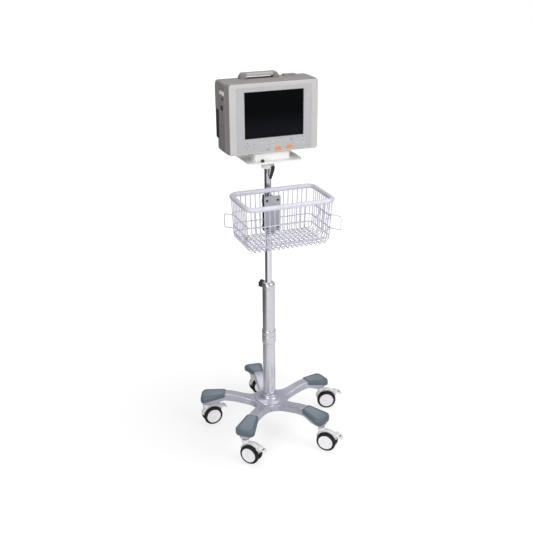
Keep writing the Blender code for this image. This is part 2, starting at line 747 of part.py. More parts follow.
def build_basket(carriage):
    centre_y = RIM_BACK_Y - RIM_D / 2
    path = [(x, y, RIM_Z) for x, y in rounded_rectangle(RIM_W, RIM_D, RIM_CORNER, (0, centre_y), 4)]
    piece("basket_rim", tube(path, RIM_R, 1, cyclic=True), "rim_coating", carriage)

    cage = cage_mesh()
    for side in (-1, 1):
        for row, end_y in HOOKS:
            loop = [cage_point(side, row, HOOK_Z[0]), cage_point(side, row, HOOK_Z[1])]
            loop[1:1] = [(side * HOOK_X, end_y, z) for z in HOOK_Z]
            cage = join(cage, tube(loop, CAGE_R, 0))
    piece("basket_cage", cage, "coated_wire", carriage)

    plate_y = RIM_BACK_Y - CAGE_R - 0.0048
    outline = rounded_rectangle(PLATE_W, PLATE_Z[1] - PLATE_Z[0], 0.004, (0, sum(PLATE_Z) / 2), 2)
    plate_mesh = moved(plate(outline, PLATE_T), (0, plate_y, 0), UPRIGHT)
    piece("basket_plate", plate_mesh, "painted_plate", carriage)

    back_face = RIM_BACK_Y + CAGE_R + 0.0020
    wide, tall = CLAMP_SIZE
    clamp = box((wide, CLAMP_FRONT - back_face, tall), (0, (CLAMP_FRONT + back_face) / 2, CLAMP_Z))
    window = box((0.0800, 0.0200, CLAMP_WINDOW), (0, back_face + 0.0020, CLAMP_Z + 0.003))
    relief = box((0.0800, 0.0080, CLAMP_WINDOW), (0, CLAMP_FRONT, CLAMP_Z + 0.003))
    clamp = bevelled(cut(clamp, window, relief), 0.002, 1, long_sharp(0.019))
    clamp = cut(clamp, cylinder(MAST_R + GAP, 0.80, 0.97, ROUND_SIDES))
    piece("basket_clamp", clamp, "black_plastic", carriage)


# ---------------------------------------------------------------- head
def build_head(carriage):
    low, high = HEAD_Z
    housing = turned(
        [(0, high), (HEAD_R - 0.0020, high), (HEAD_R, high - 0.002), (HEAD_R, low + 0.003),
         (HEAD_R - 0.003, low), (0, low)],
        ROUND_SIDES,
    )
    lug = box((0.018, 0.010, 0.0135), (LEVER_PIVOT[0], -0.0205, low + 0.0070))
    housing = join(housing, bevelled(lug, 0.0015, 1, sharp))
    housing = cut(housing, cylinder(MAST_R + GAP, low - 0.01, MAST_TOP + GAP, ROUND_SIDES))
    pivot_hole = moved(cylinder(0.0028, -0.0300, -0.0175, sides=10), turn=UPRIGHT.inverted())
    pivot_hole = moved(pivot_hole, (LEVER_PIVOT[0], 0, LEVER_PIVOT[2]))
    piece("head_housing", cut(housing, pivot_hole), "cream_paint", carriage)

    lever = moved(plate(arc((0, 0), EYE_R, 0, 180, 6) + LEVER_TAIL, LEVER_T), turn=UPRIGHT)
    lever = bevelled(lever, 0.0010, 1, sharp)
    journal = moved(cylinder(0.0025, -0.0105, 0.0, sides=10), turn=UPRIGHT)
    piece("head_lever", join(lever, journal), "black_plastic", carriage, LEVER_PIVOT)

    swivel = frame_empty("head_swivel", carriage, (0, 0, 0))
    floor_top = YOKE_Z + 0.0040
    yoke = turned(
        [(0, floor_top), (HEAD_R - 0.002, floor_top), (HEAD_R, floor_top - 0.0010), (HEAD_R, YOKE_Z),
         (0, YOKE_Z)],
        ROUND_SIDES,
    )
    ear_outline = [(-0.0070, floor_top - 0.001), (0.0070, floor_top - 0.001)]
    ear_outline += arc((0, TILT_Z), EYE_R, 0, 180, 6)
    for side in (-1, 1):
        ear = moved(plate(ear_outline, 0.005), turn=UPRIGHT)
        ear = moved(ear, turn=Matrix.Rotation(math.radians(90), 3, "Z"))
        yoke = join(yoke, moved(ear, (side * EAR_X, 0, 0)))
    pin_hole = moved(cylinder(PIN_R + GAP, -0.030, 0.030, sides=12), (0, 0, TILT_Z), SIDEWAYS)
    piece("swivel_yoke", cut(yoke, pin_hole), "cream_paint", swivel)
    pin = moved(cylinder(PIN_R, -PIN_HALF, PIN_HALF, sides=12), turn=SIDEWAYS)
    heads = moved(cylinder(0.0048, -PIN_HALF, 0.0015 - PIN_HALF, sides=12), turn=SIDEWAYS)
    piece("tilt_pin", join(pin, heads), "zinc", swivel, (0, 0, TILT_Z))

    tilt = frame_empty("monitor_tilt", swivel, (0, 0, TILT_Z))
    low, high = (z - TILT_Z for z in MOUNT_PLATE_Z)
    sheet = plate(rounded_rectangle(*MOUNT_PLATE_SIZE, 0.030, (0, 0), 4), high - low)
    sheet = moved(sheet, (0, PLATE_SHIFT, (low + high) / 2))
    sheet = bevelled(sheet, 0.0015, 1, edge_at_height(low))
    top = MONITOR_AT[2] - TILT_Z - GAP
    adapter = moved(plate(rounded_rectangle(*ADAPTER_SIZE, 0.008, (0, 0), 2), top - high + 0.001),
                    (MONITOR_AT[0], -0.015, (top + high - 0.001) / 2))
    lug = box((0.0260, 0.0130, low + 0.0005), (0, 0, (low + 0.0005) / 2))
    barrel = moved(cylinder(EYE_R, -0.0130, 0.0130, sides=12), turn=SIDEWAYS)
    pin_bore = moved(cylinder(PIN_R + GAP, -0.020, 0.020, sides=12), turn=SIDEWAYS)
    screw = cylinder(0.0060, high - 0.001, high + 0.0100, sides=10, centre=SCREW_AT)
    mount = cut(join(sheet, adapter, join(lug, barrel), screw), pin_bore)
    piece("mount_plate", mount, "cream_paint", tilt)
    return tilt


# ---------------------------------------------------------------- monitor
def lofted(sections):
    """A solid through rectangular sections, each (y, width, z_low, z_high, corner)."""
    work = bmesh.new()
    loops = []
    for y, width, z_low, z_high, corner in sections:
        outline = rounded_rectangle(width, z_high - z_low, corner, (0, (z_low + z_high) / 2), 3)
        loops.append([work.verts.new((x, y, z)) for x, z in outline])
    for front, back in zip(loops, loops[1:]):
        for i in range(len(front)):
            j = (i + 1) % len(front)
            work.faces.new((front[i], back[i], back[j], front[j]))
    work.faces.new(loops[0])
    work.faces.new(list(reversed(loops[-1])))
    mesh = bpy.data.meshes.new("loft")
    work.to_mesh(mesh)
    work.free()
    return closed(mesh)


def opening_box(width, z_low, z_high, y_low, y_high, centre_x=0.0):
    """A box given by its width and its ranges in z and y."""
    return box(
        (width, y_high - y_low, z_high - z_low), (centre_x, (y_low + y_high) / 2, (z_low + z_high) / 2)
    )


def build_monitor(tilt):
    offset = (MONITOR_AT[0], MONITOR_AT[1], MONITOR_AT[2] - TILT_Z)
    body = frame_empty("monitor_body", tilt, offset)
    wide = MON_W + 2 * FLARE

    # front bezel with the screen window and a shallow recess for the keypad panel
    bezel = lofted([
        (0, MON_W - 0.004, 0.002, MON_H - 0.002, 0.006),
        (0.002, MON_W, 0, MON_H, 0.008),
        (BEZEL_D, wide, 0, MON_H, 0.009),
    ])
    window = opening_box(SCREEN_W, SCREEN_Z, SCREEN_Z + SCREEN_H, -0.01, 0.05)
    recess = opening_box(PANEL_W, PANEL_Z[0], PANEL_Z[1], -0.01, PANEL_T + GAP)
    hollow = opening_box(wide - 2 * WALL - 2 * FLARE, 0.004, MON_H - 0.004, BEZEL_WALL, 0.05)
    key_wide, key_tall = KEY_SIZE[0] + 0.001, KEY_SIZE[1] + 0.001
    key_holes = [
        opening_box(key_wide, z - key_tall / 2, z + key_tall / 2, -0.01, 0.03, x) for x, z in KEYS.values()
    ]
    piece("front_bezel", cut(bezel, hollow, recess, window, *key_holes), "bezel_plastic", body)

    # keypad panel, a foil round the screen with two key windows
    panel = opening_box(PANEL_W - 2 * GAP, PANEL_Z[0] + GAP, PANEL_Z[1] - GAP, 0, PANEL_T)
    panel = cut(panel, window.copy(), *[hole.copy() for hole in key_holes])
    piece("keypad_panel", panel, "panel_foil", body)

    # screen glass behind the bezel wall, then the LCD module
    glass = opening_box(SCREEN_W + 0.006, SCREEN_Z - 0.003, SCREEN_Z + SCREEN_H + 0.003, 0.0053, 0.0073)
    piece("screen_glass", glass, "screen_glass", body)
    module = opening_box(SCREEN_W + 0.014, SCREEN_Z - 0.005, SCREEN_Z + SCREEN_H + 0.006, 0.0076, 0.0180)
    piece("lcd_module", bevelled(module, 0.001, 1, sharp), "module_metal", body)

    # raised keys: cap in front, flange behind the bezel wall
    def proud(edge):
        return sharp(edge) and max(vert.co.y for vert in edge.verts) < -0.001

    for name, (x, z) in KEYS.items():
        cap = opening_box(KEY_SIZE[0], -KEY_SIZE[1] / 2, KEY_SIZE[1] / 2, -0.0022, 0.0060)
        cap = bevelled(cap, 0.0010, 1, proud)
        flange = opening_box(KEY_SIZE[0] + 0.004, -0.0070, 0.0070, 0.0054, 0.0070)
        piece(f"alarm_key_{name}", join(cap, flange), "orange_key", body, (x, 0, z))

    # rear housing, an open-fronted shell with a stepped lower back edge
    front = BEZEL_D + GAP
    housing = lofted([
        (front, wide, 0, MON_H, 0.009),
        (0.095, wide, 0, MON_H, 0.009),
        (MON_D - 0.005, wide - 0.004, 0.005, MON_H - 0.002, 0.010),
        (MON_D, wide - 0.014, 0.010, MON_H - 0.007, 0.008),
    ])
    top_cover = opening_box(0.045, MON_H - 0.010, MON_H + 0.0055, 0.092, 0.114, 0.094)
    housing = join(housing, bevelled(top_cover, 0.002, 1, sharp))
    notch = box((0.40, 0.052, 0.080), (0, MON_D, 0))
    hollow = opening_box(wide - 4 * WALL, 2 * WALL, MON_H - 2 * WALL, 0.0, 0.074)
    deep_hollow = opening_box(wide - 0.060, DEEP_FLOOR, MON_H - 0.014, 0.0, MON_D - 0.0035)
    recess_y = (HANDLE_Y - 0.017, HANDLE_Y + 0.023)
    finger_recess = opening_box(0.098, MON_H - 0.009, MON_H + 0.02, *recess_y, sum(HANDLE_X) / 2)
    panel_hole = box((0.034, 0.048, 0.124), (-wide / 2, *PANEL_YZ))
    grille_hole = box((0.020, 0.0135, 0.086), (-wide / 2, *VENT_YZ))
    seat = (BRACKET_W + 2 * GAP, BRACKET_D + 2 * GAP, 0.006)
    handle_seats = [
        box(seat, (x + side * BRACKET_W / 2, HANDLE_Y, MON_H)) for x, side in zip(HANDLE_X, (1, -1))
    ]
    housing = cut(
        housing, notch, hollow, deep_hollow, finger_recess, panel_hole, grille_hole, *handle_seats
    )
    piece("rear_housing", housing, "housing_plastic", body)

    # connector panel in the left side wall, with its sockets
    face_x = -wide / 2 + 0.004
    connector = box((0.003, 0.0474, 0.1234), (face_x, *PANEL_YZ))
    for y, z, radius, out in SOCKETS:
        socket = moved(cylinder(radius, -out, 0.001, sides=10), (face_x, y, z), SIDEWAYS)
        well = moved(cylinder(radius - 0.0025, -0.010, -0.0012, sides=8), (face_x, y, z), SIDEWAYS)
        connector = cut(join(connector, socket), well)
    piece("connector_panel", connector, "housing_plastic", body)

    grille = box((0.006, 0.0129, 0.0854), (-wide / 2 + 0.0062, *VENT_YZ))
    slots = []
    for i in range(VENT_SLOTS):
        z = VENT_YZ[1] + VENT_PITCH * (i - (VENT_SLOTS - 1) / 2)
        slots.append(box((0.006, 0.0090, 0.0040), (-wide / 2 + 0.0035, VENT_YZ[0], z)))
    piece("vent_grille", cut(grille, *slots), "black_plastic", body)

    # carry handle: two brackets joined by a strip under a lighter grip
    low_z = MON_H - 0.0027
    top_z = MON_H + HANDLE_TOP
    span = HANDLE_X[1] - HANDLE_X[0]
    middle_x = sum(HANDLE_X) / 2
    profile = [(0, low_z), (BRACKET_W, low_z), (BRACKET_W, top_z), (0.0120, top_z), (0, MON_H + 0.006)]
    brackets = []
    for end, side in zip(HANDLE_X, (1, -1)):
        bracket = plate([(end + side * x, z) for x, z in profile], BRACKET_D)
        brackets.append(moved(bracket, (0, HANDLE_Y, 0), UPRIGHT))
    bar = box((span - 0.030, 0.022, 0.007), (middle_x, HANDLE_Y + 0.004, top_z - 0.0035))
    frame = bevelled(join(brackets[0], bar, brackets[1]), 0.0012, 1, long_sharp(0.006))
    piece("handle_frame", frame, "housing_plastic", body)
    grip_x = span - 2 * BRACKET_W - 0.0008
    grip = box((grip_x, 0.0065, 0.0110), (middle_x, HANDLE_Y - 0.0108, top_z - 0.0058))
    piece("handle_grip", bevelled(grip, 0.0015, 1, sharp), "grip_plastic", body)

    # inside the housing
    piece("main_board", opening_box(0.255, 0.030, 0.205, 0.0240, 0.0262), "circuit_board", body)
    supply = opening_box(0.100, 0.050, 0.125, 0.0320, 0.0850, 0.070)
    piece("power_supply", bevelled(supply, 0.002, 1, sharp), "module_metal", body)
    pump = join(
        opening_box(0.060, 0.050, 0.090, 0.0350, 0.0800, -0.050),
        moved(cylinder(0.0170, -0.1000, -0.0700, sides=16), (0, 0.0570, 0.0700), SIDEWAYS),
    )
    piece("pressure_pump", pump, "black_plastic", body)


stand_frame = frame_empty("stand_frame", None, (*COLUMN_AXIS, 0))
build_base(stand_frame)
build_castors(stand_frame)
mast_carriage = build_column(stand_frame)
build_basket(mast_carriage)
monitor_tilt = build_head(mast_carriage)
build_monitor(monitor_tilt)
bpy.context.view_layer.update()
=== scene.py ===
"""Looks of the patient monitor on its roll stand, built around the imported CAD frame.

Metres, +Z up. The screen faces -Y. Every place comes from the boxes of the CAD nodes.
"""
import json
import math

import bmesh
import bpy
from mathutils import Matrix, Vector


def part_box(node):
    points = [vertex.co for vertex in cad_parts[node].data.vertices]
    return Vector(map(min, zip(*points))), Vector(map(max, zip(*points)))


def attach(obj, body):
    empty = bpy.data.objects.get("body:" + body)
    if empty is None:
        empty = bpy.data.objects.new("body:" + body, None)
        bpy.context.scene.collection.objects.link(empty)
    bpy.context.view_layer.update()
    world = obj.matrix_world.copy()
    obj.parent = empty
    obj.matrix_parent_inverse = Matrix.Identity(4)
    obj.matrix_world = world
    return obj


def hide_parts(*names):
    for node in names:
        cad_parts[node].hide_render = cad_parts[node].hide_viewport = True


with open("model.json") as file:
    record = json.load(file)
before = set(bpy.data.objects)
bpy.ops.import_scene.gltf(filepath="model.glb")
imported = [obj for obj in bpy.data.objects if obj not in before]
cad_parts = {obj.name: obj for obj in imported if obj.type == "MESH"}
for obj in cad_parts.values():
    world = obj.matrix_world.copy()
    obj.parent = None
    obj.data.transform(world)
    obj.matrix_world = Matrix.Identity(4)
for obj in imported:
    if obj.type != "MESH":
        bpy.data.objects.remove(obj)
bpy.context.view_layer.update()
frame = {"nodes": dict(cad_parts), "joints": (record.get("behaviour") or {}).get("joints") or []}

ARMS = ("front_left", "front_right", "right", "rear", "left")


def middle(node):
    """Centre of a CAD node's box."""
    low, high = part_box(node)
    return (low + high) / 2


def box_from(origin, node):
    """The low and high corners of a CAD node's box, seen from an origin."""
    low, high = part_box(node)
    return low - origin, high - origin


AXIS = middle("mast")
AXIS.z = 0.0
AT_AXIS = Matrix.Translation(AXIS)
UPRIGHT = Matrix.Rotation(math.radians(90), 4, "X")       # XY outline to XZ outline, Z axis to -Y
BACKWARDS = Matrix.Rotation(math.radians(-90), 4, "X")    # Z axis to Y axis
SIDEWAYS = Matrix.Rotation(math.radians(90), 4, "Y")      # Z axis to X axis
LEFTWARDS = Matrix.Rotation(math.radians(-90), 4, "Y")    # Z axis to -X axis


# ---------------------------------------------------------------- materials
class Nodes:
    """Adds nodes to the tree of a material or a world, and links them."""

    def __init__(self, owner):
        owner.use_nodes = True
        self.tree = owner.node_tree
        self.coords = self.tree.nodes.get("Texture Coordinate") or self.add("ShaderNodeTexCoord")

    def add(self, kind, **values):
        """Add a node. A capitalised value is an input, with _ for a space; any other is a setting."""
        node = self.tree.nodes.new(kind)
        for key, value in values.items():
            if key[0].isupper():
                node.inputs[key.replace("_", " ")].default_value = value
            else:
                setattr(node, key, value)
        return node

    def link(self, source, target):
        self.tree.links.new(source, target)

    def noise(self, scale, detail=3.0, rough=0.55, stretch=(1, 1, 1)):
        mapping = self.add("ShaderNodeMapping", Scale=stretch)
        self.link(self.coords.outputs["Object"], mapping.inputs["Vector"])
        node = self.add("ShaderNodeTexNoise", Scale=scale, Detail=detail, Roughness=rough)
        self.link(mapping.outputs["Vector"], node.inputs["Vector"])
        return node.outputs["Fac"]

    def ranged(self, value, low, high, out_low=0.0, out_high=1.0):
        node = self.add("ShaderNodeMapRange", From_Min=low, From_Max=high, To_Min=out_low, To_Max=out_high)
        self.link(value, node.inputs["Value"])
        return node.outputs["Result"]

    def mixed(self, factor, first, second):
        """Two colours mixed; each is a socket or a tuple."""
        node = self.add("ShaderNodeMix", data_type="RGBA")
        self.link(factor, node.inputs["Factor"])
        for socket, value in ((node.inputs[6], first), (node.inputs[7], second)):
            if isinstance(value, tuple):
                socket.default_value = (*value, 1.0)
            else:
                self.link(value, socket)
        return node.outputs[2]

    def measured(self, operation, vector, direction=(0, 0, 0)):
        """A vector's LENGTH, or its DOT_PRODUCT with a direction."""
        node = self.add("ShaderNodeVectorMath", operation=operation)
        node.inputs[1].default_value = direction
        self.link(vector, node.inputs[0])
        return node.outputs["Value"]

    def roughen(self, shader, height, strength, distance):
        """Bump a shader's surface with a height."""
        bump = self.add("ShaderNodeBump", Strength=strength, Distance=distance)
        self.link(height, bump.inputs["Height"])
        self.link(bump.outputs["Normal"], shader.inputs["Normal"])

    def show_camera(self, usual, seen, share, output):
        """Show the camera's own rays a share of another shader."""
        part = self.add("ShaderNodeMath", operation="MULTIPLY")
        part.inputs[1].default_value = share
        self.link(self.add("ShaderNodeLightPath").outputs["Is Camera Ray"], part.inputs[0])
        mix = self.add("ShaderNodeMixShader")
        for source, target in zip((part, usual, seen), mix.inputs):
            self.link(source.outputs[0], target)
        self.link(mix.outputs[0], self.tree.nodes[output].inputs["Surface"])


def shade(colour, factor):
    """A colour made lighter or darker."""
    return tuple(min(channel * factor, 1.0) for channel in colour)


WORN = (0.53, 0.62)            # range of Pointiness over which an edge counts as worn
GRAIN_DEPTH = 0.001
COAT_ROUGHNESS = 0.08


def surface(
    name, colour, roughness, metallic, mottle, smudge, grain,
    stretch=(1, 1, 1), coat=0.0, wear=None, second=None, specular=0.5,
):
    """A finish: uneven colour, uneven gloss and fine grain, with worn edges if asked for.

    mottle, smudge and grain are (scale per metre, amount); wear is (colour, amount);
    second is (colour, noise scale, low, high) for a second colour in soft patches.
    """
    mat = bpy.data.materials.new(name)
    work = Nodes(mat)
    shader = mat.node_tree.nodes["Principled BSDF"]
    patch = work.ranged(work.noise(mottle[0], 4.0, 0.6), 0.3, 0.7)
    result = work.mixed(patch, shade(colour, 1 - mottle[1]), shade(colour, 1 + mottle[1]))
    if second:
        tint, scale, low, high = second
        result = work.mixed(work.ranged(work.noise(scale, 5.0, 0.65), low, high), result, tint)
    if wear:
        edge = work.add("ShaderNodeNewGeometry").outputs["Pointiness"]
        result = work.mixed(work.ranged(edge, *WORN, 0.0, wear[1]), result, wear[0])
    work.link(result, shader.inputs["Base Color"])
    spots = work.noise(smudge[0], 5.0, 0.6, stretch)
    gloss = work.ranged(spots, 0.25, 0.75, max(roughness - smudge[1], 0.02), roughness + smudge[1])
    work.link(gloss, shader.inputs["Roughness"])
    work.roughen(shader, work.noise(grain[0], 2.0, 0.5, stretch), grain[1], GRAIN_DEPTH)
    shader.inputs["Metallic"].default_value = metallic
    shader.inputs["Specular IOR Level"].default_value = specular
    if coat:
        shader.inputs["Coat Weight"].default_value = coat
        shader.inputs["Coat Roughness"].default_value = COAT_ROUGHNESS
    return mat


PAINT = surface(
    "silver_paint", (0.50, 0.50, 0.57), 0.30, 0.55, (14, 0.05), (20, 0.06), (420, 0.06), coat=0.5,
    wear=((0.72, 0.72, 0.76), 0.35),
)
PAD = surface(
    "pad_plastic", (0.098, 0.128, 0.155), 0.46, 0.0, (150, 0.16), (90, 0.08), (520, 0.45),
    wear=((0.30, 0.36, 0.40), 0.55),
)
WHITE = surface(
    "white_gloss", (0.80, 0.80, 0.815), 0.22, 0.0, (22, 0.025), (30, 0.05), (700, 0.03), coat=0.4,
)
DISC = surface("wheel_disc", (0.93, 0.90, 0.92), 0.30, 0.0, (45, 0.03), (60, 0.06), (900, 0.05), coat=0.2)
TYRE = surface(
    "tyre_rubber", (0.008, 0.008, 0.009), 0.60, 0.0, (60, 0.2), (90, 0.12), (1300, 0.25),
    second=((0.030, 0.029, 0.028), 70, 0.55, 0.90), specular=0.3,
)
ZINC = surface("zinc", (0.45, 0.45, 0.47), 0.34, 1.0, (120, 0.08), (160, 0.10), (1200, 0.06))
SATIN = surface(
    "satin_aluminium", (0.72, 0.715, 0.76), 0.22, 0.92, (6, 0.03), (700, 0.07), (900, 0.05),
    stretch=(1, 1, 0.012),
)
COLLAR = surface(
    "turned_aluminium", (0.70, 0.70, 0.735), 0.24, 0.85, (12, 0.03), (900, 0.08), (1100, 0.05),
    stretch=(0.05, 0.05, 1),
)
CHROME = surface("chrome", (0.82, 0.82, 0.84), 0.07, 1.0, (20, 0.03), (45, 0.04), (1600, 0.015))
BLACK = surface("black_plastic", (0.018, 0.018, 0.019), 0.36, 0.0, (50, 0.15), (70, 0.10), (1400, 0.12),
                wear=((0.10, 0.10, 0.10), 0.3))
WIRE = surface("coated_wire", (0.60, 0.59, 0.68), 0.32, 0.0, (40, 0.04), (50, 0.07), (700, 0.10), coat=0.25)
RIM = surface("rim_sleeve", (0.69, 0.68, 0.77), 0.34, 0.0, (16, 0.035), (24, 0.07), (520, 0.12), coat=0.25)
PLATE = surface("painted_plate", (0.47, 0.485, 0.52), 0.36, 0.25, (25, 0.04), (30, 0.08), (620, 0.12),
                wear=((0.68, 0.69, 0.72), 0.4))
CREAM = surface("cream_paint", (0.93, 0.93, 0.90), 0.38, 0.0, (18, 0.03), (26, 0.07), (520, 0.10), coat=0.15)
BEZEL = surface("bezel_plastic", (0.575, 0.550, 0.545), 0.42, 0.0, (9, 0.025), (22, 0.06), (1300, 0.16))
HOUSING = surface("housing_plastic", (0.265, 0.243, 0.232), 0.50, 0.0, (10, 0.05), (24, 0.07), (950, 0.30),
                  wear=((0.42, 0.40, 0.385), 0.4))
FOIL = surface("panel_foil", (0.485, 0.478, 0.485), 0.34, 0.0, (12, 0.02), (30, 0.07), (1700, 0.08))
GRIP = surface("grip_plastic", (0.54, 0.475, 0.47), 0.42, 0.0, (30, 0.03), (40, 0.06), (1200, 0.15))
ORANGE = surface("orange_key", (0.80, 0.31, 0.10), 0.38, 0.0, (140, 0.08), (150, 0.06), (2000, 0.12))
ORANGE_FILM = surface("orange_film", (0.80, 0.50, 0.34), 0.40, 0.0, (140, 0.05), (150, 0.06), (1700, 0.08))
BLUE = surface("blue_print", (0.25, 0.38, 0.52), 0.38, 0.0, (140, 0.08), (150, 0.06), (1700, 0.08))
DARK = surface("dark_print", (0.16, 0.17, 0.20), 0.38, 0.0, (140, 0.08), (150, 0.06), (1700, 0.08))
PALE = surface("pale_film", (0.545, 0.540, 0.565), 0.38, 0.0, (90, 0.03), (90, 0.06), (1700, 0.08))
SOCKET = surface("socket_plastic", (0.72, 0.70, 0.68), 0.35, 0.0, (90, 0.04), (90, 0.06), (1500, 0.10))
BOARD = surface("circuit_board", (0.03, 0.18, 0.07), 0.45, 0.0, (90, 0.1), (90, 0.08), (1500, 0.10))
MODULE = surface("module_metal", (0.55, 0.56, 0.58), 0.36, 0.9, (40, 0.05), (60, 0.08), (1200, 0.08))


def screen_material():
    """Switched-off glass: black, with a faint navy sheen painted towards its lower edge, a painted
    reflection.
    """
    mat = bpy.data.materials.new("screen_glass")
    work = Nodes(mat)
    shader = mat.node_tree.nodes["Principled BSDF"]
    low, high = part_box("screen_glass")
    place = work.add("ShaderNodeSeparateXYZ")
    work.link(work.coords.outputs["Object"], place.inputs["Vector"])
    # painted reflection: the glass colour goes from black to a faint navy towards its lower edge
    depth = work.ranged(place.outputs["Z"], low.z, low.z + 0.55 * (high.z - low.z), 1.0, 0.0)
    colour = work.mixed(depth, (0.0012, 0.0016, 0.0018), (0.0052, 0.0058, 0.0105))
    work.link(colour, shader.inputs["Base Color"])
    smear = work.ranged(work.noise(14.0, 5.0, 0.65), 0.3, 0.75, 0.10, 0.20)
    work.link(smear, shader.inputs["Roughness"])
    work.roughen(shader, work.noise(900.0), 0.01, 0.0005)
    shader.inputs["Specular IOR Level"].default_value = 0.07
    return mat


SCREEN = screen_material()


# ---------------------------------------------------------------- mesh helpers
def mesh_from(work):
    mesh = bpy.data.meshes.new("shape")
    work.to_mesh(mesh)
    work.free()
    return mesh


def outward(work):
    """The mesh of closed shapes, with every face turned outwards."""
    bmesh.ops.recalc_face_normals(work, faces=work.faces)
    return mesh_from(work)


def join_loops(work, first, second):
    """A band of faces between two closed loops of vertices."""
    for i in range(len(first)):
        j = (i + 1) % len(first)
        work.faces.new((first[i], second[i], second[j], first[j]))


def placed(name, data):
    """A new object in the scene."""
    obj = bpy.data.objects.new(name, data)
    bpy.context.scene.collection.objects.link(obj)
    return obj


def moved(mesh, matrix):
    mesh.transform(matrix)
    return mesh


def shifted(mesh, x=0.0, y=0.0, z=0.0):
    return moved(mesh, Matrix.Translation((x, y, z)))


def lathe(profile, segments=64, ring=False):
    """Turn a profile of (radius, height[, material index]) about Z."""
    work = bmesh.new()
    rings = []
    for point in profile:
        radius, height = point[0], point[1]
        if radius < 1e-7:
            rings.append([work.verts.new((0, 0, height))])
            continue
        loop = []
        for i in range(segments):
            angle = 2 * math.pi * i / segments
            loop.append(work.verts.new((radius * math.cos(angle), radius * math.sin(angle), height)))
        rings.append(loop)
    pairs = list(zip(rings, rings[1:], profile))
    if ring:
        pairs.append((rings[-1], rings[0], profile[-1]))
    for first, second, point in pairs:
        for i in range(segments):
            j = (i + 1) % segments
            if len(first) == 1:
                corners = (first[0], second[i], second[j])
            elif len(second) == 1:
                corners = (first[i], second[0], first[j])
            else:
                corners = (first[i], second[i], second[j], first[j])
            face = work.faces.new(corners)
            face.material_index = point[2] if len(point) > 2 else 0
    return outward(work)


def corner_curve(before, corner, after, radius, share, steps):
    """Points that round a corner, reaching along no more than a share of each leg."""
    here = Vector(corner)
    back = Vector(before) - here
    ahead = Vector(after) - here
    reach = min(radius, back.length * share, ahead.length * share)
    start = here + back.normalized() * reach
    end = here + ahead.normalized() * reach
    parts = [i / steps for i in range(steps + 1)]
    return [(1 - t) ** 2 * start + 2 * t * (1 - t) * here + t**2 * end for t in parts]


def soft_profile(points, radius, steps=3):
    """Round the corners of an open (radius, height) profile."""
    result = [points[0]]
    for before, corner, after in zip(points, points[1:], points[2:]):
        result += [tuple(point) for point in corner_curve(before, corner, after, radius, 0.45, steps)]
    return [*result, points[-1]]


def rounded_path(points, radius, steps=6):
    """Round the corners of an open polyline in space."""
    result = [Vector(points[0])]
    for before, corner, after in zip(points, points[1:], points[2:]):
        result += corner_curve(before, corner, after, radius, 0.48, steps)
    return [*result, Vector(points[-1])]


def turned(points, radius, segments, steps=3):
    """A turned part: a profile with rounded corners, about Z."""
    return lathe(soft_profile(points, radius, steps), segments)


def rod(radius, half, segments):
    """A solid round bar along Z, centred."""
    return lathe([(0, -half), (radius, -half), (radius, half), (0, half)], segments)


def tube(node, inner, outer):
    """A thick-walled tube along Z, as long as a CAD node's box."""
    low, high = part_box(node)
    return lathe([(inner, high.z), (outer, high.z), (outer, low.z), (inner, low.z)], 96, ring=True)


def add_pipe(work, points, radius, sides=10, cyclic=False):
    """Add a round bar along a path to a bmesh."""
    points = [Vector(point) for point in points]
    count = len(points)
    tangents = []
    for i in range(count):
        if cyclic:
            step = points[(i + 1) % count] - points[i - 1]
        else:
            step = points[min(i + 1, count - 1)] - points[max(i - 1, 0)]
        tangents.append(step.normalized())
    side = tangents[0].orthogonal().normalized()
    loops = []
    for point, tangent in zip(points, tangents):
        side = (side - tangent * side.dot(tangent)).normalized()
        other = tangent.cross(side)
        loop = []
        for k in range(sides):
            angle = 2 * math.pi * k / sides
            loop.append(work.verts.new(point + radius * (math.cos(angle) * side + math.sin(angle) * other)))
        loops.append(loop)
    pairs = list(zip(loops, loops[1:]))
    if cyclic:
        last, first = loops[-1], loops[0]
        offset = min(range(sides), key=lambda k: (first[k].co - last[0].co).length)
        pairs.append((last, first[offset:] + first[:offset]))
    for first, second in pairs:
        for k in range(sides):
            j = (k + 1) % sides
            work.faces.new((first[k], first[j], second[j], second[k]))
    if not cyclic:
        work.faces.new(list(reversed(loops[0])))
        work.faces.new(loops[-1])


def pipe(points, radius, sides=16, cyclic=False):
    work = bmesh.new()
    add_pipe(work, points, radius, sides, cyclic)
    return outward(work)


def arc(centre, radius, start, end, steps):
    """Points on an arc from start to end, in degrees."""
    points = []
    for i in range(steps + 1):
        angle = math.radians(start + (end - start) * i / steps)
        points.append((centre[0] + radius * math.cos(angle), centre[1] + radius * math.sin(angle)))
    return points


def rounded_rectangle(width, depth, corner, centre=(0, 0), steps=8):
    """A rectangle with rounded corners, anticlockwise."""
    points = []
    for side_x, side_y, start in ((1, 1, 0), (-1, 1, 90), (-1, -1, 180), (1, -1, 270)):
        place = (
            centre[0] + side_x * (width / 2 - corner),
            centre[1] + side_y * (depth / 2 - corner),
        )
        points += arc(place, corner, start, start + 90, steps)
    return points


def prism(outline, low, high, bevel=0.0, segments=3):
    """An outline raised from low to high, with softened edges."""
    work = bmesh.new()
    top = [work.verts.new((x, y, high)) for x, y in outline]
    bottom = [work.verts.new((x, y, low)) for x, y in outline]
    work.faces.new(top)
    work.faces.new(list(reversed(bottom)))
    join_loops(work, top, bottom)
    mesh = outward(work)
    return softened(mesh, bevel, segments) if bevel else mesh


def slab(outline, half, bevel=0.0, segments=3):
    """An outline in X and Z, thickened by half on each side of y = 0."""
    return moved(prism(outline, -half, half, bevel, segments), UPRIGHT)


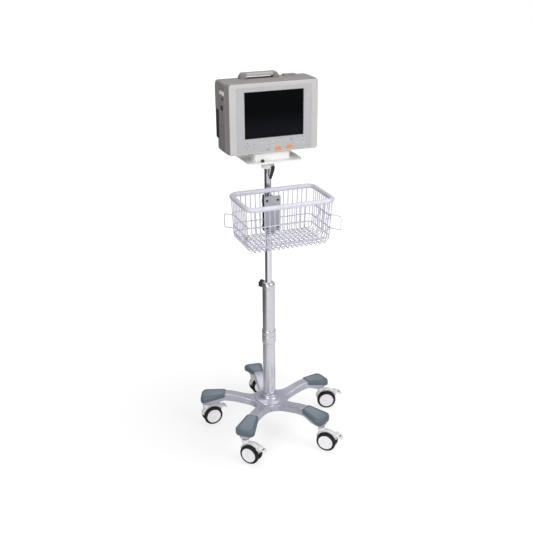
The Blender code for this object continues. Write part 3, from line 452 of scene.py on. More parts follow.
def softened(mesh, width, segments=3, angle=50.0):
    """Round the edges sharper than an angle."""
    work = bmesh.new()
    work.from_mesh(mesh)
    limit = math.radians(angle)
    edges = [edge for edge in work.edges if len(edge.link_faces) == 2 and edge.calc_face_angle(0) > limit]
    bmesh.ops.bevel(
        work, geom=edges, offset=width, segments=segments, profile=0.5, affect="EDGES", clamp_overlap=True
    )
    work.to_mesh(mesh)
    work.free()
    return mesh


def box(size, centre=(0, 0, 0), bevel=0.0, segments=3):
    """A box with softened edges."""
    x, y = size[0] / 2, size[1] / 2
    outline = [(-x, -y), (x, -y), (x, y), (-x, y)]
    mesh = prism(outline, -size[2] / 2, size[2] / 2, bevel, segments)
    return shifted(mesh, *centre)


def loft(sections, steps=10):
    """A solid through rounded rectangles, each (y, width, z_low, z_high, corner)."""
    work = bmesh.new()
    loops = []
    for y, width, z_low, z_high, corner in sections:
        outline = rounded_rectangle(width, z_high - z_low, corner, (0, (z_low + z_high) / 2), steps)
        loops.append([work.verts.new((x, y, z)) for x, z in outline])
    for front, back in zip(loops, loops[1:]):
        join_loops(work, front, back)
    work.faces.new(loops[0])
    work.faces.new(list(reversed(loops[-1])))
    return outward(work)


def applied(obj):
    """An object's mesh with its modifiers applied."""
    bpy.context.view_layer.update()
    graph = bpy.context.evaluated_depsgraph_get()
    return bpy.data.meshes.new_from_object(obj.evaluated_get(graph))


def with_shape(mesh, other, operation):
    """Boolean of two meshes in the same frame."""
    helper, tool = placed("helper", mesh), placed("tool", other)
    step = helper.modifiers.new("boolean", "BOOLEAN")
    step.operation = operation
    step.solver = "EXACT"
    step.object = tool
    result = applied(helper)
    for obj in (helper, tool):
        bpy.data.objects.remove(obj, do_unlink=True)
    return result


def cut(mesh, *others):
    for other in others:
        mesh = with_shape(mesh, other, "DIFFERENCE")
    return mesh


def union(mesh, *others):
    for other in others:
        mesh = with_shape(mesh, other, "UNION")
    return mesh


def merged(*meshes):
    """Several closed shapes as one mesh, without a boolean."""
    work = bmesh.new()
    for mesh in meshes:
        work.from_mesh(mesh)
    return mesh_from(work)


def remeshed(mesh, voxel, smoothing):
    """One even skin over overlapping shapes, with every corner rounded off."""
    helper = placed("helper", mesh)
    skin = helper.modifiers.new("skin", "REMESH")
    skin.mode = "VOXEL"
    skin.voxel_size = voxel
    soft = helper.modifiers.new("soft", "SMOOTH")
    soft.factor = 0.5
    soft.iterations = smoothing
    result = applied(helper)
    bpy.data.objects.remove(helper, do_unlink=True)
    return result


def piece(name, mesh, mats, body, replaced=(), matrix=None, angle=35.0):
    """A visible piece in world coordinates, riding on a body.

    Faces of more than four corners are split: a clash test took a concave one for its filled outline.
    """
    if matrix is not None:
        mesh = moved(mesh.copy(), matrix)
    work = bmesh.new()
    work.from_mesh(mesh)
    work.normal_update()
    many_sided = [face for face in work.faces if len(face.verts) > 4]
    bmesh.ops.triangulate(work, faces=many_sided, ngon_method="BEAUTY")
    work.to_mesh(mesh)
    work.free()
    mats = mats if isinstance(mats, tuple) else (mats,)
    for i, mat in enumerate(mats):
        if i < len(mesh.materials):
            mesh.materials[i] = mat
        else:
            mesh.materials.append(mat)
    mesh.shade_smooth()
    mesh.set_sharp_from_angle(angle=math.radians(angle))
    obj = placed(name, mesh)
    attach(obj, body)
    if replaced:
        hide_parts(*replaced)
    return obj


def four_corners(x, low, high):
    """Label, x and z of four screws, from the upper left to the lower right."""
    for level, z in (("upper", high), ("lower", low)):
        for hand, side in (("left", -1), ("right", 1)):
            yield f"{level}_{hand}", side * x, z


# ---------------------------------------------------------------- base
ARM_HALF = 0.0180
ARM_END = 0.2625
WEB_RADIUS = 0.064
WEB_ANGLES = (36.0, 7.0)       # degrees off an arm's middle: between two arms, and beside the straight part
WEB_STEPS = 16
RISE_START = 0.045
PEAK_RADIUS = 0.172
FOOT_RADIUS = 0.230
ARM_TOP = (0.122, 0.144)       # heights at the hub and at the peak
ARM_BOTTOM = (0.096, 0.114, 0.094)   # heights at the hub, at the peak and at the foot
ARM_SLOPE = 0.15
SKIN_VOXEL = 0.0019
SKIN_SMOOTHING = 16
PAD_START = 0.1725
PAD_END = 0.268
PAD_HALF_IN = 0.0212
PAD_HALF_OUT = 0.038
PAD_CORNER = 0.020
PAD_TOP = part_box("arm_pad_right")[1].z
PAD_BOTTOM = PAD_TOP - 0.016
PAD_BOTTOM_SLOPE = 0.255
PAD_GAP = 0.0006               # beside the arm, and the depth of the seam
SHOULDER = (0.012, 0.004)      # the pad's inner corner: outwards, sideways
HUB_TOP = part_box("base_star")[1].z
HUB_BORE = 0.0241
HUB_CONE = (                   # radius and depth below the hub's top
    (HUB_BORE, 0.0300), (HUB_BORE, 0), (0.0290, 0), (0.0318, 0.0025), (0.0325, 0.0095), (0.0370, 0.0150),
    (0.0460, 0.0200), (0.0545, 0.0225), (0.0562, 0.0260), (0.0562, 0.0345),
)


def arm_angle(arm):
    """Direction of an arm in plan, in radians."""
    offset = middle(f"castor_stem_{arm}") - AXIS
    return math.atan2(offset.y, offset.x)


def star_outline():
    """Plan outline of the five arms, flowing into each other round the hub."""
    wide, narrow = WEB_ANGLES
    points = []
    for arm in ARMS:
        right_side = []
        for i in range(WEB_STEPS + 1):
            offset = wide - (wide - narrow) * (i / WEB_STEPS) ** 0.8
            reach = ARM_HALF / math.sin(math.radians(offset))
            right_side.append(((reach**3 + WEB_RADIUS**3) ** (1 / 3), -offset))
        left_side = [(radius, -offset) for radius, offset in reversed(right_side[1:])]
        tip = [(math.hypot(ARM_END, y), math.degrees(math.atan2(y, ARM_END))) for y in (-ARM_HALF, ARM_HALF)]
        for radius, offset in right_side + tip + left_side:
            angle = arm_angle(arm) + math.radians(offset)
            points.append((radius * math.cos(angle), radius * math.sin(angle)))
    return points


def smooth_rise(radius, start, end):
    """0 before start, 1 after end, smooth between."""
    t = min(max((radius - start) / (end - start), 0), 1)
    return t * t * (3 - 2 * t)


def arm_top(radius):
    """Height of an arm's top: it rises from the hub to a peak, then falls evenly."""
    if radius > PEAK_RADIUS:
        return ARM_TOP[1] - ARM_SLOPE * (radius - PEAK_RADIUS)
    return ARM_TOP[0] + (ARM_TOP[1] - ARM_TOP[0]) * smooth_rise(radius, RISE_START, PEAK_RADIUS)


def arm_bottom(radius):
    """Height of an arm's underside: up to a peak, then down to a level foot."""
    hub, peak, foot = ARM_BOTTOM
    if radius > PEAK_RADIUS:
        return peak + (foot - peak) * smooth_rise(radius, PEAK_RADIUS, FOOT_RADIUS)
    return hub + (peak - hub) * smooth_rise(radius, RISE_START, PEAK_RADIUS)


def pad_mesh():
    """Rubber-like cap over an arm's end: wider outwards, sloping, with a seam round its middle."""
    out, aside = SHOULDER
    inner = PAD_END - PAD_CORNER
    outline = [
        (PAD_START, PAD_HALF_IN), (PAD_START, -PAD_HALF_IN), (PAD_START + out, -PAD_HALF_IN - aside),
        *arc((inner, -PAD_HALF_OUT + PAD_CORNER), PAD_CORNER, -80, 0, 9),
        *arc((inner, PAD_HALF_OUT - PAD_CORNER), PAD_CORNER, 0, 80, 9),
        (PAD_START + out, PAD_HALF_IN + aside),
    ]
    seam_out = [(x * 0.86 + 0.0300, y * 0.72) for x, y in outline]
    seam_in = [(x * 0.985 + 0.0034, y * 0.95) for x, y in seam_out]
    seam = cut(
        prism(seam_out, PAD_TOP - PAD_GAP, PAD_TOP + 0.001), prism(seam_in, PAD_TOP - 0.002, PAD_TOP + 0.002)
    )
    pad = cut(softened(prism(outline, PAD_BOTTOM, PAD_TOP), 0.0050, 4, 60), seam)
    for vert in pad.vertices:
        share = (vert.co.z - PAD_BOTTOM) / (PAD_TOP - PAD_BOTTOM)
        slope = PAD_BOTTOM_SLOPE + (ARM_SLOPE - PAD_BOTTOM_SLOPE) * share
        vert.co.z -= slope * (vert.co.x - PAD_START)
    ceiling = ARM_TOP[1] + 0.0002 + ARM_SLOPE * PEAK_RADIUS
    start, end, low = PAD_START - 0.02, ARM_END + 0.0003, 0.060
    pocket = [(start, low), (end, low), *((x, ceiling - ARM_SLOPE * x) for x in (end, start))]
    return cut(pad, slab(pocket, ARM_HALF + PAD_GAP))


def build_base():
    low, high = ARM_BOTTOM[0], ARM_TOP[0]
    star = prism(star_outline(), low, high)
    crown, skirt_low = high + 0.0025, low + 0.012
    skirt = lathe([(0, crown), (0.050, crown), (0.060, high), (0.060, skirt_low), (0, skirt_low)], 64)
    skin = remeshed(merged(star, skirt), SKIN_VOXEL, SKIN_SMOOTHING)
    for vert in skin.vertices:
        radius = vert.co.xy.length
        share = min(max((vert.co.z - low) / (high - low), 0), 1)
        vert.co.z += share * (arm_top(radius) - high) + (1 - share) * (arm_bottom(radius) - low)
    piece("base_casting", skin, PAINT, "base", ("base_star",), AT_AXIS, 60)
    cone = turned([(radius, HUB_TOP - depth) for radius, depth in HUB_CONE], 0.0022, 96)
    piece("hub_cone", cone, PAINT, "base", (), AT_AXIS, 40)
    pad = pad_mesh()
    for arm in ARMS:
        turn = AT_AXIS @ Matrix.Rotation(arm_angle(arm), 4, "Z")
        piece(f"pad_{arm}", pad, PAD, "base", (f"arm_pad_{arm}",), turn, 38)


# ---------------------------------------------------------------- castors
WHEEL_R = 0.0375
WHEEL_IN = 0.0060
WHEEL_OUT = 0.0230
FIN_R = 0.0425
PEDAL_HINGE_R = 0.0485
PEDAL_ANGLE = 42.0


def tyre_mesh():
    """Tyre with rounded shoulders round a dished disc with a centre cap; materials 0 tyre, 1 disc."""
    wide = WHEEL_OUT - WHEEL_IN
    face = (                   # radius, depth below the outer side, material
        (0.0, 0.0004, 1), (0.0050, 0.0004, 1), (0.0064, 0.0010, 1), (0.0068, 0.0022, 1), (0.0120, 0.0026, 1),
        (0.0205, 0.0016, 1), (0.0250, 0.0006, 1), (0.0268, 0.0001, 1), (0.0277, 0.0006, 1),
        (0.0280, 0.0016, 0), (0.0284, 0.0016, 0), (0.0290, 0.0006, 0), (0.0330, 0.0007, 0),
    )
    tread = (                  # depth below the tread, height
        (0.0022, wide - 0.0022), (0.0007, wide - 0.0044), (0, wide - 0.0072), (0, 0.0060), (0.0006, 0.0035),
        (0.0022, 0.0012), (0.0050, 0.0),
    )
    inside = [
        (0.0285, 0.0, 1), (0.0275, 0.0014, 1), (0.0120, 0.0016, 1), (0.0100, 0.0002, 1), (0.0045, 0.0, 1),
        (0.0045, 0.0115, 1), (0.0, 0.0115, 1),
    ]
    profile = [(radius, wide - depth, mat) for radius, depth, mat in face]
    profile += [(WHEEL_R - depth, height, 0) for depth, height in tread]
    return lathe(profile + inside, 72)


def axle_arc(trail, radius, start, end, steps):
    return arc((trail, WHEEL_R), radius, start, end, steps)


def axle_point(trail, radius, angle):
    return axle_arc(trail, radius, angle, angle, 1)[0]


def hood_mesh(trail, top):
    """Glossy fin between the wheels, its flange, the swivel boss, the axle and two pedal lugs."""
    web = slab(axle_arc(trail, FIN_R, 170, 20, 30) + axle_arc(trail, 0.013, -40, -140, 12), 0.0054, 0.0008, 2)
    flange = axle_arc(trail, 0.0446, 166, 24, 36) + axle_arc(trail, 0.0388, 24, 166, 36)
    boss = [(0, top), (0.0112, top), (0.0136, top - 0.0028), (0.0140, 0.0765), (0, 0.0740)]
    axle = shifted(moved(rod(0.0040, 0.0176, 24), UPRIGHT), trail, 0, WHEEL_R)
    hinge = axle_point(trail, PEDAL_HINGE_R, PEDAL_ANGLE)
    high, low = (axle_point(trail, FIN_R, PEDAL_ANGLE + turn) for turn in (9, -9))
    lug = [high, *arc(hinge, 0.0034, 100, -20, 10), low]
    lugs = [shifted(slab(lug, 0.0012, 0.0004, 2), 0, side * 0.0145, 0) for side in (-1, 1)]
    ledge = [axle_point(trail, 0.0455, PEDAL_ANGLE + turn) for turn in (6, -6)]
    bridge = slab([high, *ledge, low], 0.0155, 0.0006, 2)
    return merged(web, slab(flange, 0.0095, 0.0021, 4), turned(boss, 0.0012, 48), axle, bridge, *lugs)


def pedal_mesh():
    """Brake pedal about its hinge axis, with a slot through its tread."""
    outline = [(0, 0.0028), (-0.0010, -0.0010), (0.0120, -0.0056), (0.0235, -0.0114), (0.0254, -0.0092),
               (0.0190, -0.0040), (0.0100, 0.0012)]
    slot = box((0.0048, 0.0150, 0.0060), (0.0150, 0, -0.0008), 0.0010, 2)
    return merged(moved(rod(0.0030, 0.0126, 24), UPRIGHT), cut(slab(outline, 0.0118, 0.0011, 3), slot))


def build_castors():
    wheel = tyre_mesh()
    pedal = pedal_mesh()
    stem = turned([
        (0, 0.1115), (0.0045, 0.1115), (0.0055, 0.1105), (0.0055, 0.0937), (0.0120, 0.0937),
        (0.0120, 0.0898), (0.0035, 0.0898), (0.0035, 0.0690), (0, 0.0690),
    ], 0.0005, 40, 2)
    # painted shade: a black plate lines the floor of each pedal's slot, standing in for the shade inside it
    slot_shade_plate = box((0.0052, 0.0148, 0.0008), (0.0150, 0, -0.0036), 0.0002, 1)
    for arm in ARMS:
        castor, brake = f"castor_{arm}", f"pedal_{arm}"
        swivel = middle(f"castor_stem_{arm}")
        axle = (middle(f"wheel_near_{arm}") + middle(f"wheel_far_{arm}")) / 2
        trail = (axle - swivel).xy.length
        heading = math.atan2(axle.y - swivel.y, axle.x - swivel.x)
        place = Matrix.Translation((swivel.x, swivel.y, 0)) @ Matrix.Rotation(heading, 4, "Z")
        piece(f"stem_{arm}", stem, ZINC, "base", (f"castor_stem_{arm}",), place)
        hood = hood_mesh(trail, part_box(f"castor_hood_{arm}")[1].z)
        piece(f"hood_{arm}", hood, WHITE, castor, (f"castor_hood_{arm}",), place, 40)
        for side, label, facing in ((-1, "near", UPRIGHT), (1, "far", BACKWARDS)):
            spot = place @ Matrix.Translation((trail, side * WHEEL_IN, WHEEL_R)) @ facing
            node = f"wheel_{label}_{arm}"
            piece(f"castor_{node}", wheel, (TYRE, DISC), node, (node,), spot, 30)
        hinge_x, hinge_z = axle_point(trail, PEDAL_HINGE_R, PEDAL_ANGLE)
        spot = place @ Matrix.Translation((hinge_x, 0, hinge_z))
        piece(f"pedal_{arm}", pedal, WHITE, brake, (f"castor_pedal_{arm}",), spot, 35)
        piece(f"pedal_slot_shade_{arm}", slot_shade_plate, BLACK, brake, (), spot, 35)


# ---------------------------------------------------------------- column
STEP_R = 0.0262                # outer radius of the collar
GROOVE_Z = 0.4000
CAP_TOP = 0.617
CAP_R = 0.0240
MAST_BORE = 0.0129
KNOB_LOBES = 6
KNOB_STEPS = 120


def build_column():
    lower = tube("lower_tube", 0.0207, 0.0237)
    piece("column_tube", lower, SATIN, "base", ("lower_tube",), AT_AXIS)
    low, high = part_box("column_collar")
    collar = turned([
        (0.0238, high.z - 0.012), (0.0238, high.z), (0.0250, high.z), (STEP_R, high.z - 0.0040),
        (STEP_R, GROOVE_Z + 0.0030), (0.0255, GROOVE_Z + 0.0015), (0.0255, GROOVE_Z - 0.0005),
        (STEP_R, GROOVE_Z - 0.0020), (STEP_R, 0.3760), (0.0250, low.z), (0.0240, low.z),
        (0.0240, low.z + 0.020),
    ], 0.0012, 96)
    piece("joint_collar", collar, COLLAR, "base", ("column_collar",), AT_AXIS)
    sleeve = tube("upper_sleeve", 0.0205, 0.0235)
    piece("sleeve_tube", sleeve, SATIN, "base", ("upper_sleeve",), AT_AXIS)
    cap = turned([
        (MAST_BORE, 0.575), (MAST_BORE, CAP_TOP), (0.0165, CAP_TOP), (0.0215, CAP_TOP - 0.0030),
        (CAP_R, CAP_TOP - 0.0090), (CAP_R, 0.5950), (0.0236, 0.5935), (0.0236, 0.5903),
    ], 0.0025, 96, 4)
    piece("sleeve_top", cap, COLLAR, "base", ("sleeve_cap",), AT_AXIS)
    build_knob()
    piece("mast_tube", tube("mast", 0.0105, 0.0125), CHROME, "mast", ("mast",), AT_AXIS)


def build_knob():
    """The boss on the sleeve cap and the lobed knob in it, made along Z and laid outwards."""
    knob_at = middle("clamp_knob") - AXIS
    heading = Matrix.Rotation(math.atan2(knob_at.y, knob_at.x), 4, "Z")
    place = AT_AXIS @ Matrix.Translation((0, 0, knob_at.z)) @ heading @ SIDEWAYS
    boss = [(0, 0.016), (0.0095, 0.016), (0.0090, 0.0268), (0.0034, 0.0268), (0.0034, 0.02)]
    piece("knob_boss", turned(boss, 0.0008, 48), COLLAR, "base", (), place)
    outline = []
    for i in range(KNOB_STEPS):
        angle = 2 * math.pi * i / KNOB_STEPS
        radius = 0.0147 + 0.0016 * math.cos(KNOB_LOBES * angle)
        outline.append((radius * math.cos(angle), radius * math.sin(angle)))
    neck = [(0, 0.0142), (0.0030, 0.0142), (0.0030, 0.0274), (0.0102, 0.0274), (0.0125, 0.0310), (0, 0.0310)]
    disc = [(0, 0.0395), (0.0062, 0.0395), (0.0070, 0.0388), (0, 0.0386)]
    head = prism(outline, 0.0292, 0.0394, 0.0028, 5)
    knob = merged(head, turned(neck, 0.0006, 48), turned(disc, 0.0003, 40))
    piece("star_knob", knob, BLACK, "knob", ("clamp_knob",), place, 50)


# ---------------------------------------------------------------- basket
RIM_R = 0.0075
SLEEVE_R = 0.0086
RIM_LOW, RIM_HIGH = box_from(AXIS, "basket_rim")
RIM_Z = RIM_HIGH.z - RIM_R
RIM_HALF = RIM_HIGH.x - RIM_R
RIM_BACK = RIM_HIGH.y - RIM_R
RIM_FRONT = RIM_LOW.y + RIM_R
CAGE_LOW, CAGE_HIGH = box_from(AXIS, "basket_cage")
CAGE_TOP = RIM_Z - RIM_R + 0.002
WIRE_R = 0.0018
WIRE_BEND = 0.012
WIRES_ACROSS, WIRES_ALONG = 16, 10
RING_HEIGHTS = (0.9165, 0.8760, 0.8480)
LEAN = 0.008
HOOK_Z = (0.919, 0.871)        # heights of a side hook's two wires
HOOK_Y = ((-0.1863, -0.2265), (-0.0740, -0.0480))   # each hook: at the wall, at its outer end
PLATE_SCREWS = (0.0205, 0.8450, 0.9440)   # x, low z, high z
BAR_HEIGHTS = (0.9400, 0.8450)            # of the clamp's two cross bars


def wall_lean(z):
    """How far the front and side walls have leaned in at a height."""
    return LEAN * (CAGE_TOP - z) / (CAGE_TOP - CAGE_LOW.z)


def wall_rectangle(z, corner, steps=6):
    """The cage's rounded plan at a height."""
    lean = wall_lean(z)
    front = RIM_FRONT + lean
    centre = (0, (front + RIM_BACK) / 2)
    outline = rounded_rectangle(2 * (RIM_HALF - lean), RIM_BACK - front, corner, centre, steps)
    return [(x, y, z) for x, y in outline]


def cage_mesh():
    """U-shaped wires both ways, three rings and the two side hooks."""
    work = bmesh.new()
    floor_z = CAGE_LOW.z + WIRE_R
    upper_z = floor_z + 2 * WIRE_R
    low_half = RIM_HALF - LEAN
    low_front = RIM_FRONT + LEAN
    wires = []
    for i in range(WIRES_ACROSS):
        t = -1 + 2 * (i + 0.5) / WIRES_ACROSS
        top_x, low_x = t * (RIM_HALF - WIRE_BEND), t * (low_half - WIRE_BEND)
        wires.append([(top_x, RIM_FRONT, CAGE_TOP), (low_x, low_front, floor_z), (low_x, RIM_BACK, floor_z),
                      (top_x, RIM_BACK, CAGE_TOP)])
    for i in range(WIRES_ALONG):
        t = (i + 0.5) / WIRES_ALONG
        top_y = RIM_FRONT + 0.012 + t * (RIM_BACK - RIM_FRONT - 0.020)
        low_y = low_front + 0.012 + t * (RIM_BACK - low_front - 0.020)
        wires.append([(-RIM_HALF, top_y, CAGE_TOP), (-low_half, low_y, upper_z), (low_half, low_y, upper_z),
                      (RIM_HALF, top_y, CAGE_TOP)])
    for wire in wires:
        add_pipe(work, rounded_path(wire, WIRE_BEND), WIRE_R, 8)
    for z in RING_HEIGHTS:
        add_pipe(work, wall_rectangle(z, 0.024), WIRE_R * 1.1, 8, cyclic=True)
    reach = CAGE_HIGH.x - WIRE_R - 0.0003
    high, low = HOOK_Z
    for side in (-1, 1):
        for wall_y, end_y in HOOK_Y:
            loop = [(side * (RIM_HALF - wall_lean(high)), wall_y, high), (side * reach, end_y, high),
                    (side * reach, end_y, low), (side * (RIM_HALF - wall_lean(low)), wall_y, low)]
            add_pipe(work, rounded_path(loop, 0.007), WIRE_R, 8)
    return outward(work)


def build_basket():
    centre = (0, (RIM_FRONT + RIM_BACK) / 2)
    path = rounded_rectangle(2 * RIM_HALF, RIM_BACK - RIM_FRONT, 0.028, centre, 12)
    rim = pipe([(x, y, RIM_Z) for x, y in path], SLEEVE_R, 24, cyclic=True)
    piece("rim_tube", rim, RIM, "mast", ("basket_rim",), AT_AXIS, 60)
    piece("wire_cage", cage_mesh(), WIRE, "mast", ("basket_cage",), AT_AXIS, 60)

    low, high = box_from(AXIS, "basket_plate")
    outline = rounded_rectangle(high.x - low.x, high.z - low.z, 0.005, (0, (low.z + high.z) / 2), 6)
    plate = shifted(slab(outline, 0.0015, 0.0006, 3), 0, (low.y + high.y) / 2, 0)
    piece("fixing_plate", plate, PLATE, "mast", ("basket_plate",), AT_AXIS)
    head = turned([
        (0, 0.0012), (0.0014, 0.0012), (0.0016, 0.0026), (0.0036, 0.0022), (0.0043, 0.0006),
        (0.0043, -0.0006), (0, -0.0006),
    ], 0.0004, 32, 2)
    for label, x, z in four_corners(*PLATE_SCREWS):
        spot = AT_AXIS @ Matrix.Translation((x, low.y, z)) @ UPRIGHT
        piece(f"plate_screw_{label}", head, BLACK, "mast", (), spot)
    for label, z in (("upper", PLATE_SCREWS[2]), ("lower", PLATE_SCREWS[1])):
        tab = box((0.0050, 0.0060, 0.0150), (low.x - 0.0018, low.y + 0.0045, z), 0.0010, 2)
        piece(f"plate_tab_{label}", tab, BLACK, "mast", (), AT_AXIS)

    low, high = box_from(AXIS, "basket_clamp")
    mid = (low + high) / 2
    core = box((0.0320, high.y - low.y, high.z - low.z), (0, mid.y, mid.z), 0.0018, 3)
    size = (high.x - low.x, 0.0080, 0.0170)
    bars = [box(size, (0, low.y + size[1] / 2, z), 0.0012, 3) for z in BAR_HEIGHTS]
    bore = lathe([(0, 0.80), (0.0128, 0.80), (0.0128, 0.98), (0, 0.98)], 64)
    slit = box((0.0014, 0.0300, 0.2000), (0, high.y, mid.z))
    clamp = cut(union(core, *bars), bore, slit)
    piece("mast_clamp", clamp, BLACK, "mast", ("basket_clamp",), AT_AXIS, 35)


# ---------------------------------------------------------------- head
HEAD_R = 0.023
HEAD_BORE = 0.0128
EYE_R = 0.0065
PLATE_LOW, PLATE_HIGH = 1.0895, 1.0945
BLOCK_TOP = 1.1246
BOLT_AT = (-0.0473, -0.0757)


def build_head():
    low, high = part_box("head_housing")
    body = turned([
        (HEAD_BORE, high.z), (HEAD_R - 0.002, high.z), (HEAD_R, high.z - 0.002), (HEAD_R, low.z + 0.003),
        (HEAD_R - 0.003, low.z), (HEAD_BORE, low.z), (HEAD_BORE, high.z - 0.0035),
    ], 0.0010, 72)
    lug = box((0.018, 0.0105, 0.0130), (0.008, -0.0204, low.z + 0.0072), 0.0018, 3)
    piece("head_collar", merged(body, lug), CREAM, "mast", ("head_housing",), AT_AXIS)

    outline = [
        *arc((0, 0), EYE_R, 0, 180, 16), (-0.0075, -0.010), (-0.0148, -0.0365), (-0.0140, -0.0395),
        (-0.0110, -0.0405), (-0.0068, -0.0400), (-0.0052, -0.0375), (0.0050, -0.010),
    ]
    button = turned([(0, 0.0030), (0.0040, 0.0030), (0.0040, 0.0037), (0, 0.0040)], 0.0003, 32)
    lever = merged(slab(outline, 0.0030, 0.0014, 4), moved(button, UPRIGHT))
    joint = next(row for row in frame["joints"] if row["name"] == "lever_turn")
    place = Matrix.Translation(joint["pos_m"])
    piece("lever_arm", lever, BLACK, "lever", ("head_lever",), place, 40)
    build_yoke()
    build_plate()


def build_yoke():
    """Round foot with two ears, and the pin that the plate tilts on."""
    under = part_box("swivel_yoke")[0].z
    foot = under + 0.0040
    pin_z = middle("tilt_pin").z
    disc = turned([
        (0, foot), (HEAD_R - 0.002, foot), (HEAD_R, foot - 0.0012), (HEAD_R, under), (0, under),
    ], 0.0007, 72)
    ear = [(-0.0072, foot - 0.0015), (0.0072, foot - 0.0015), *arc((0, pin_z), EYE_R, 0, 180, 18)]
    quarter = Matrix.Rotation(math.radians(90), 4, "Z")
    ears = [shifted(moved(slab(ear, 0.0024, 0.0007, 3), quarter), side * 0.0160, 0, 0) for side in (-1, 1)]
    piece("yoke_fork", merged(disc, *ears), CREAM, "swivel", ("swivel_yoke",), AT_AXIS)
    pin = turned([
        (0, -0.0205), (0.0046, -0.0205), (0.0048, -0.0192), (0.0030, -0.0190), (0.0030, 0.0205), (0, 0.0205),
    ], 0.0004, 40)
    place = AT_AXIS @ Matrix.Translation((0, 0, pin_z)) @ SIDEWAYS
    piece("tilt_bolt", pin, ZINC, "swivel", ("tilt_pin",), place)


def build_plate():
    """Mount plate with the adapter block on it, the lug and eye below it, and the dark screw."""
    low, high = box_from(AXIS, "mount_plate")
    outline = rounded_rectangle(high.x - low.x, high.y - low.y, 0.030, (0, (low.y + high.y) / 2), 14)
    sheet = prism(outline, PLATE_LOW, PLATE_HIGH, 0.0017, 4)
    outline = rounded_rectangle(0.130, 0.090, 0.010, (-0.004, -0.015), 8)
    block = prism(outline, PLATE_HIGH - 0.001, BLOCK_TOP, 0.0022, 4)
    lug = box((0.026, 0.013, 0.0090), (0, 0, PLATE_LOW - 0.0035), 0.0010, 2)
    barrel = shifted(moved(rod(0.0064, 0.013, 40), SIDEWAYS), 0, 0, middle("tilt_pin").z)
    plate = merged(sheet, block, lug, barrel)
    piece("tilt_plate", plate, CREAM, "monitor", ("mount_plate",), AT_AXIS)
    screw = turned([
        (0, 0.0060), (0.0022, 0.0060), (0.0026, 0.0085), (0.0050, 0.0085), (0.0060, 0.0070),
        (0.0060, -0.0005), (0, -0.0005),
    ], 0.0006, 32)
    spot = AT_AXIS @ Matrix.Translation((*BOLT_AT, PLATE_HIGH))
    piece("plate_bolt", screw, BLACK, "monitor", (), spot)


# ---------------------------------------------------------------- monitor
BEZEL_LOW, BEZEL_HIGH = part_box("front_bezel")
MON_AT = Vector(((BEZEL_LOW.x + BEZEL_HIGH.x) / 2, BEZEL_LOW.y, BEZEL_LOW.z))
AT_MONITOR = Matrix.Translation(MON_AT)
WIDE = BEZEL_HIGH.x - BEZEL_LOW.x
SIDE = -WIDE / 2
FRONT_W = WIDE - 0.014
MON_H = BEZEL_HIGH.z - BEZEL_LOW.z
BEZEL_D = 0.026
MON_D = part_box("rear_housing")[1].y - MON_AT.y
SCREEN_W, SCREEN_H, SCREEN_Z = 0.2112, 0.1560, 0.0520
SCREEN_MID = (0, SCREEN_Z + SCREEN_H / 2)
PANEL_W = 0.268
PANEL_Z = (0.0060, 0.2220)
KEYS = {"left": (0.0135, 0.0120), "right": (0.0545, 0.0145)}
PRINT_Y = 0.0001               # printed marks start this far behind the panel's face
ARROWS = (                     # x, z, turn in degrees
    (-0.1040, 0.0300, 90), (-0.0910, 0.0300, -90), (-0.0975, 0.0385, 0), (-0.0975, 0.0215, 180),
    (-0.0740, 0.0340, 0), (-0.0740, 0.0215, 180),
)
PALE_KEYS = (                  # width, height, places (x, z)
    (0.010, 0.007, ((-0.0460, 0.0370), (-0.0300, 0.0370), (-0.0460, 0.0240), (-0.0300, 0.0240))),
    (0.011, 0.007, ((-0.0060, 0.0370), (-0.0060, 0.0250))),
    (0.010, 0.006, ((0.0200, 0.0400), (0.0200, 0.0290))),
    (0.009, 0.006, ((0.0850, 0.0380), (0.1040, 0.0380), (0.1040, 0.0260), (0.0850, 0.0260))),
)
BLUE_KEYS = ((0.0100, 0.0062, 0.0012, -0.0240, 0.0115), (0.0085, 0.0080, 0.0014, 0.0610, 0.0400))
DOTS = ((0.0850, 0.0450), (0.1040, 0.0450), (0.1040, 0.0325), (0.0200, 0.0460))
SOCKETS = (                    # label, y, z, radius, how far it stands out, material
    ("upper_rear", 0.0665, 0.2020, 0.0065, 0.0048, SOCKET),
    ("upper_front", 0.0400, 0.2010, 0.0070, 0.0048, SOCKET),
    ("middle", 0.0520, 0.1820, 0.0050, 0.0030, BLACK),
    ("lower", 0.0615, 0.1510, 0.0080, 0.0036, BLACK),
)
REAR_SCREWS = (0.140, 0.052, 0.215)   # x, low z, high z
PANEL_MID = middle("connector_panel") - MON_AT
VENT_MID = middle("vent_grille") - MON_AT
HANDLE_LOW, HANDLE_HIGH = box_from(MON_AT, "handle_frame")
HANDLE_MID = (HANDLE_LOW + HANDLE_HIGH) / 2


def on_monitor(name, mesh, mats, replaced=(), angle=30):
    """A piece of the monitor, made in its own frame."""
    piece(name, mesh, mats, "monitor", replaced, AT_MONITOR, angle)


def front_box(width, z_low, z_high, y_low, y_high, centre_x=0.0, bevel=0.0, segments=3):
    """A box in the monitor's frame, given by its width and its ranges in z and y."""
    size = (width, y_high - y_low, z_high - z_low)
    return box(size, (centre_x, (y_low + y_high) / 2, (z_low + z_high) / 2), bevel, segments)


def key_dome(width, height, corner, x, z, thick=0.0004):
    """A low printed dome of a membrane key, facing -Y."""
    shape = prism(rounded_rectangle(width, height, corner, steps=5), 0, thick, thick * 0.7, 2)
    return shifted(moved(shape, UPRIGHT), x, PRINT_Y, z)


def arrow_mark(x, z, turn, size=0.0024):
    corners = [math.radians(angle + turn) for angle in (90, 210, 330)]
    outline = [(size * math.cos(angle), size * math.sin(angle)) for angle in corners]
    return shifted(moved(prism(outline, 0.0, 0.0004, 0.0001, 1), UPRIGHT), x, PRINT_Y, z)


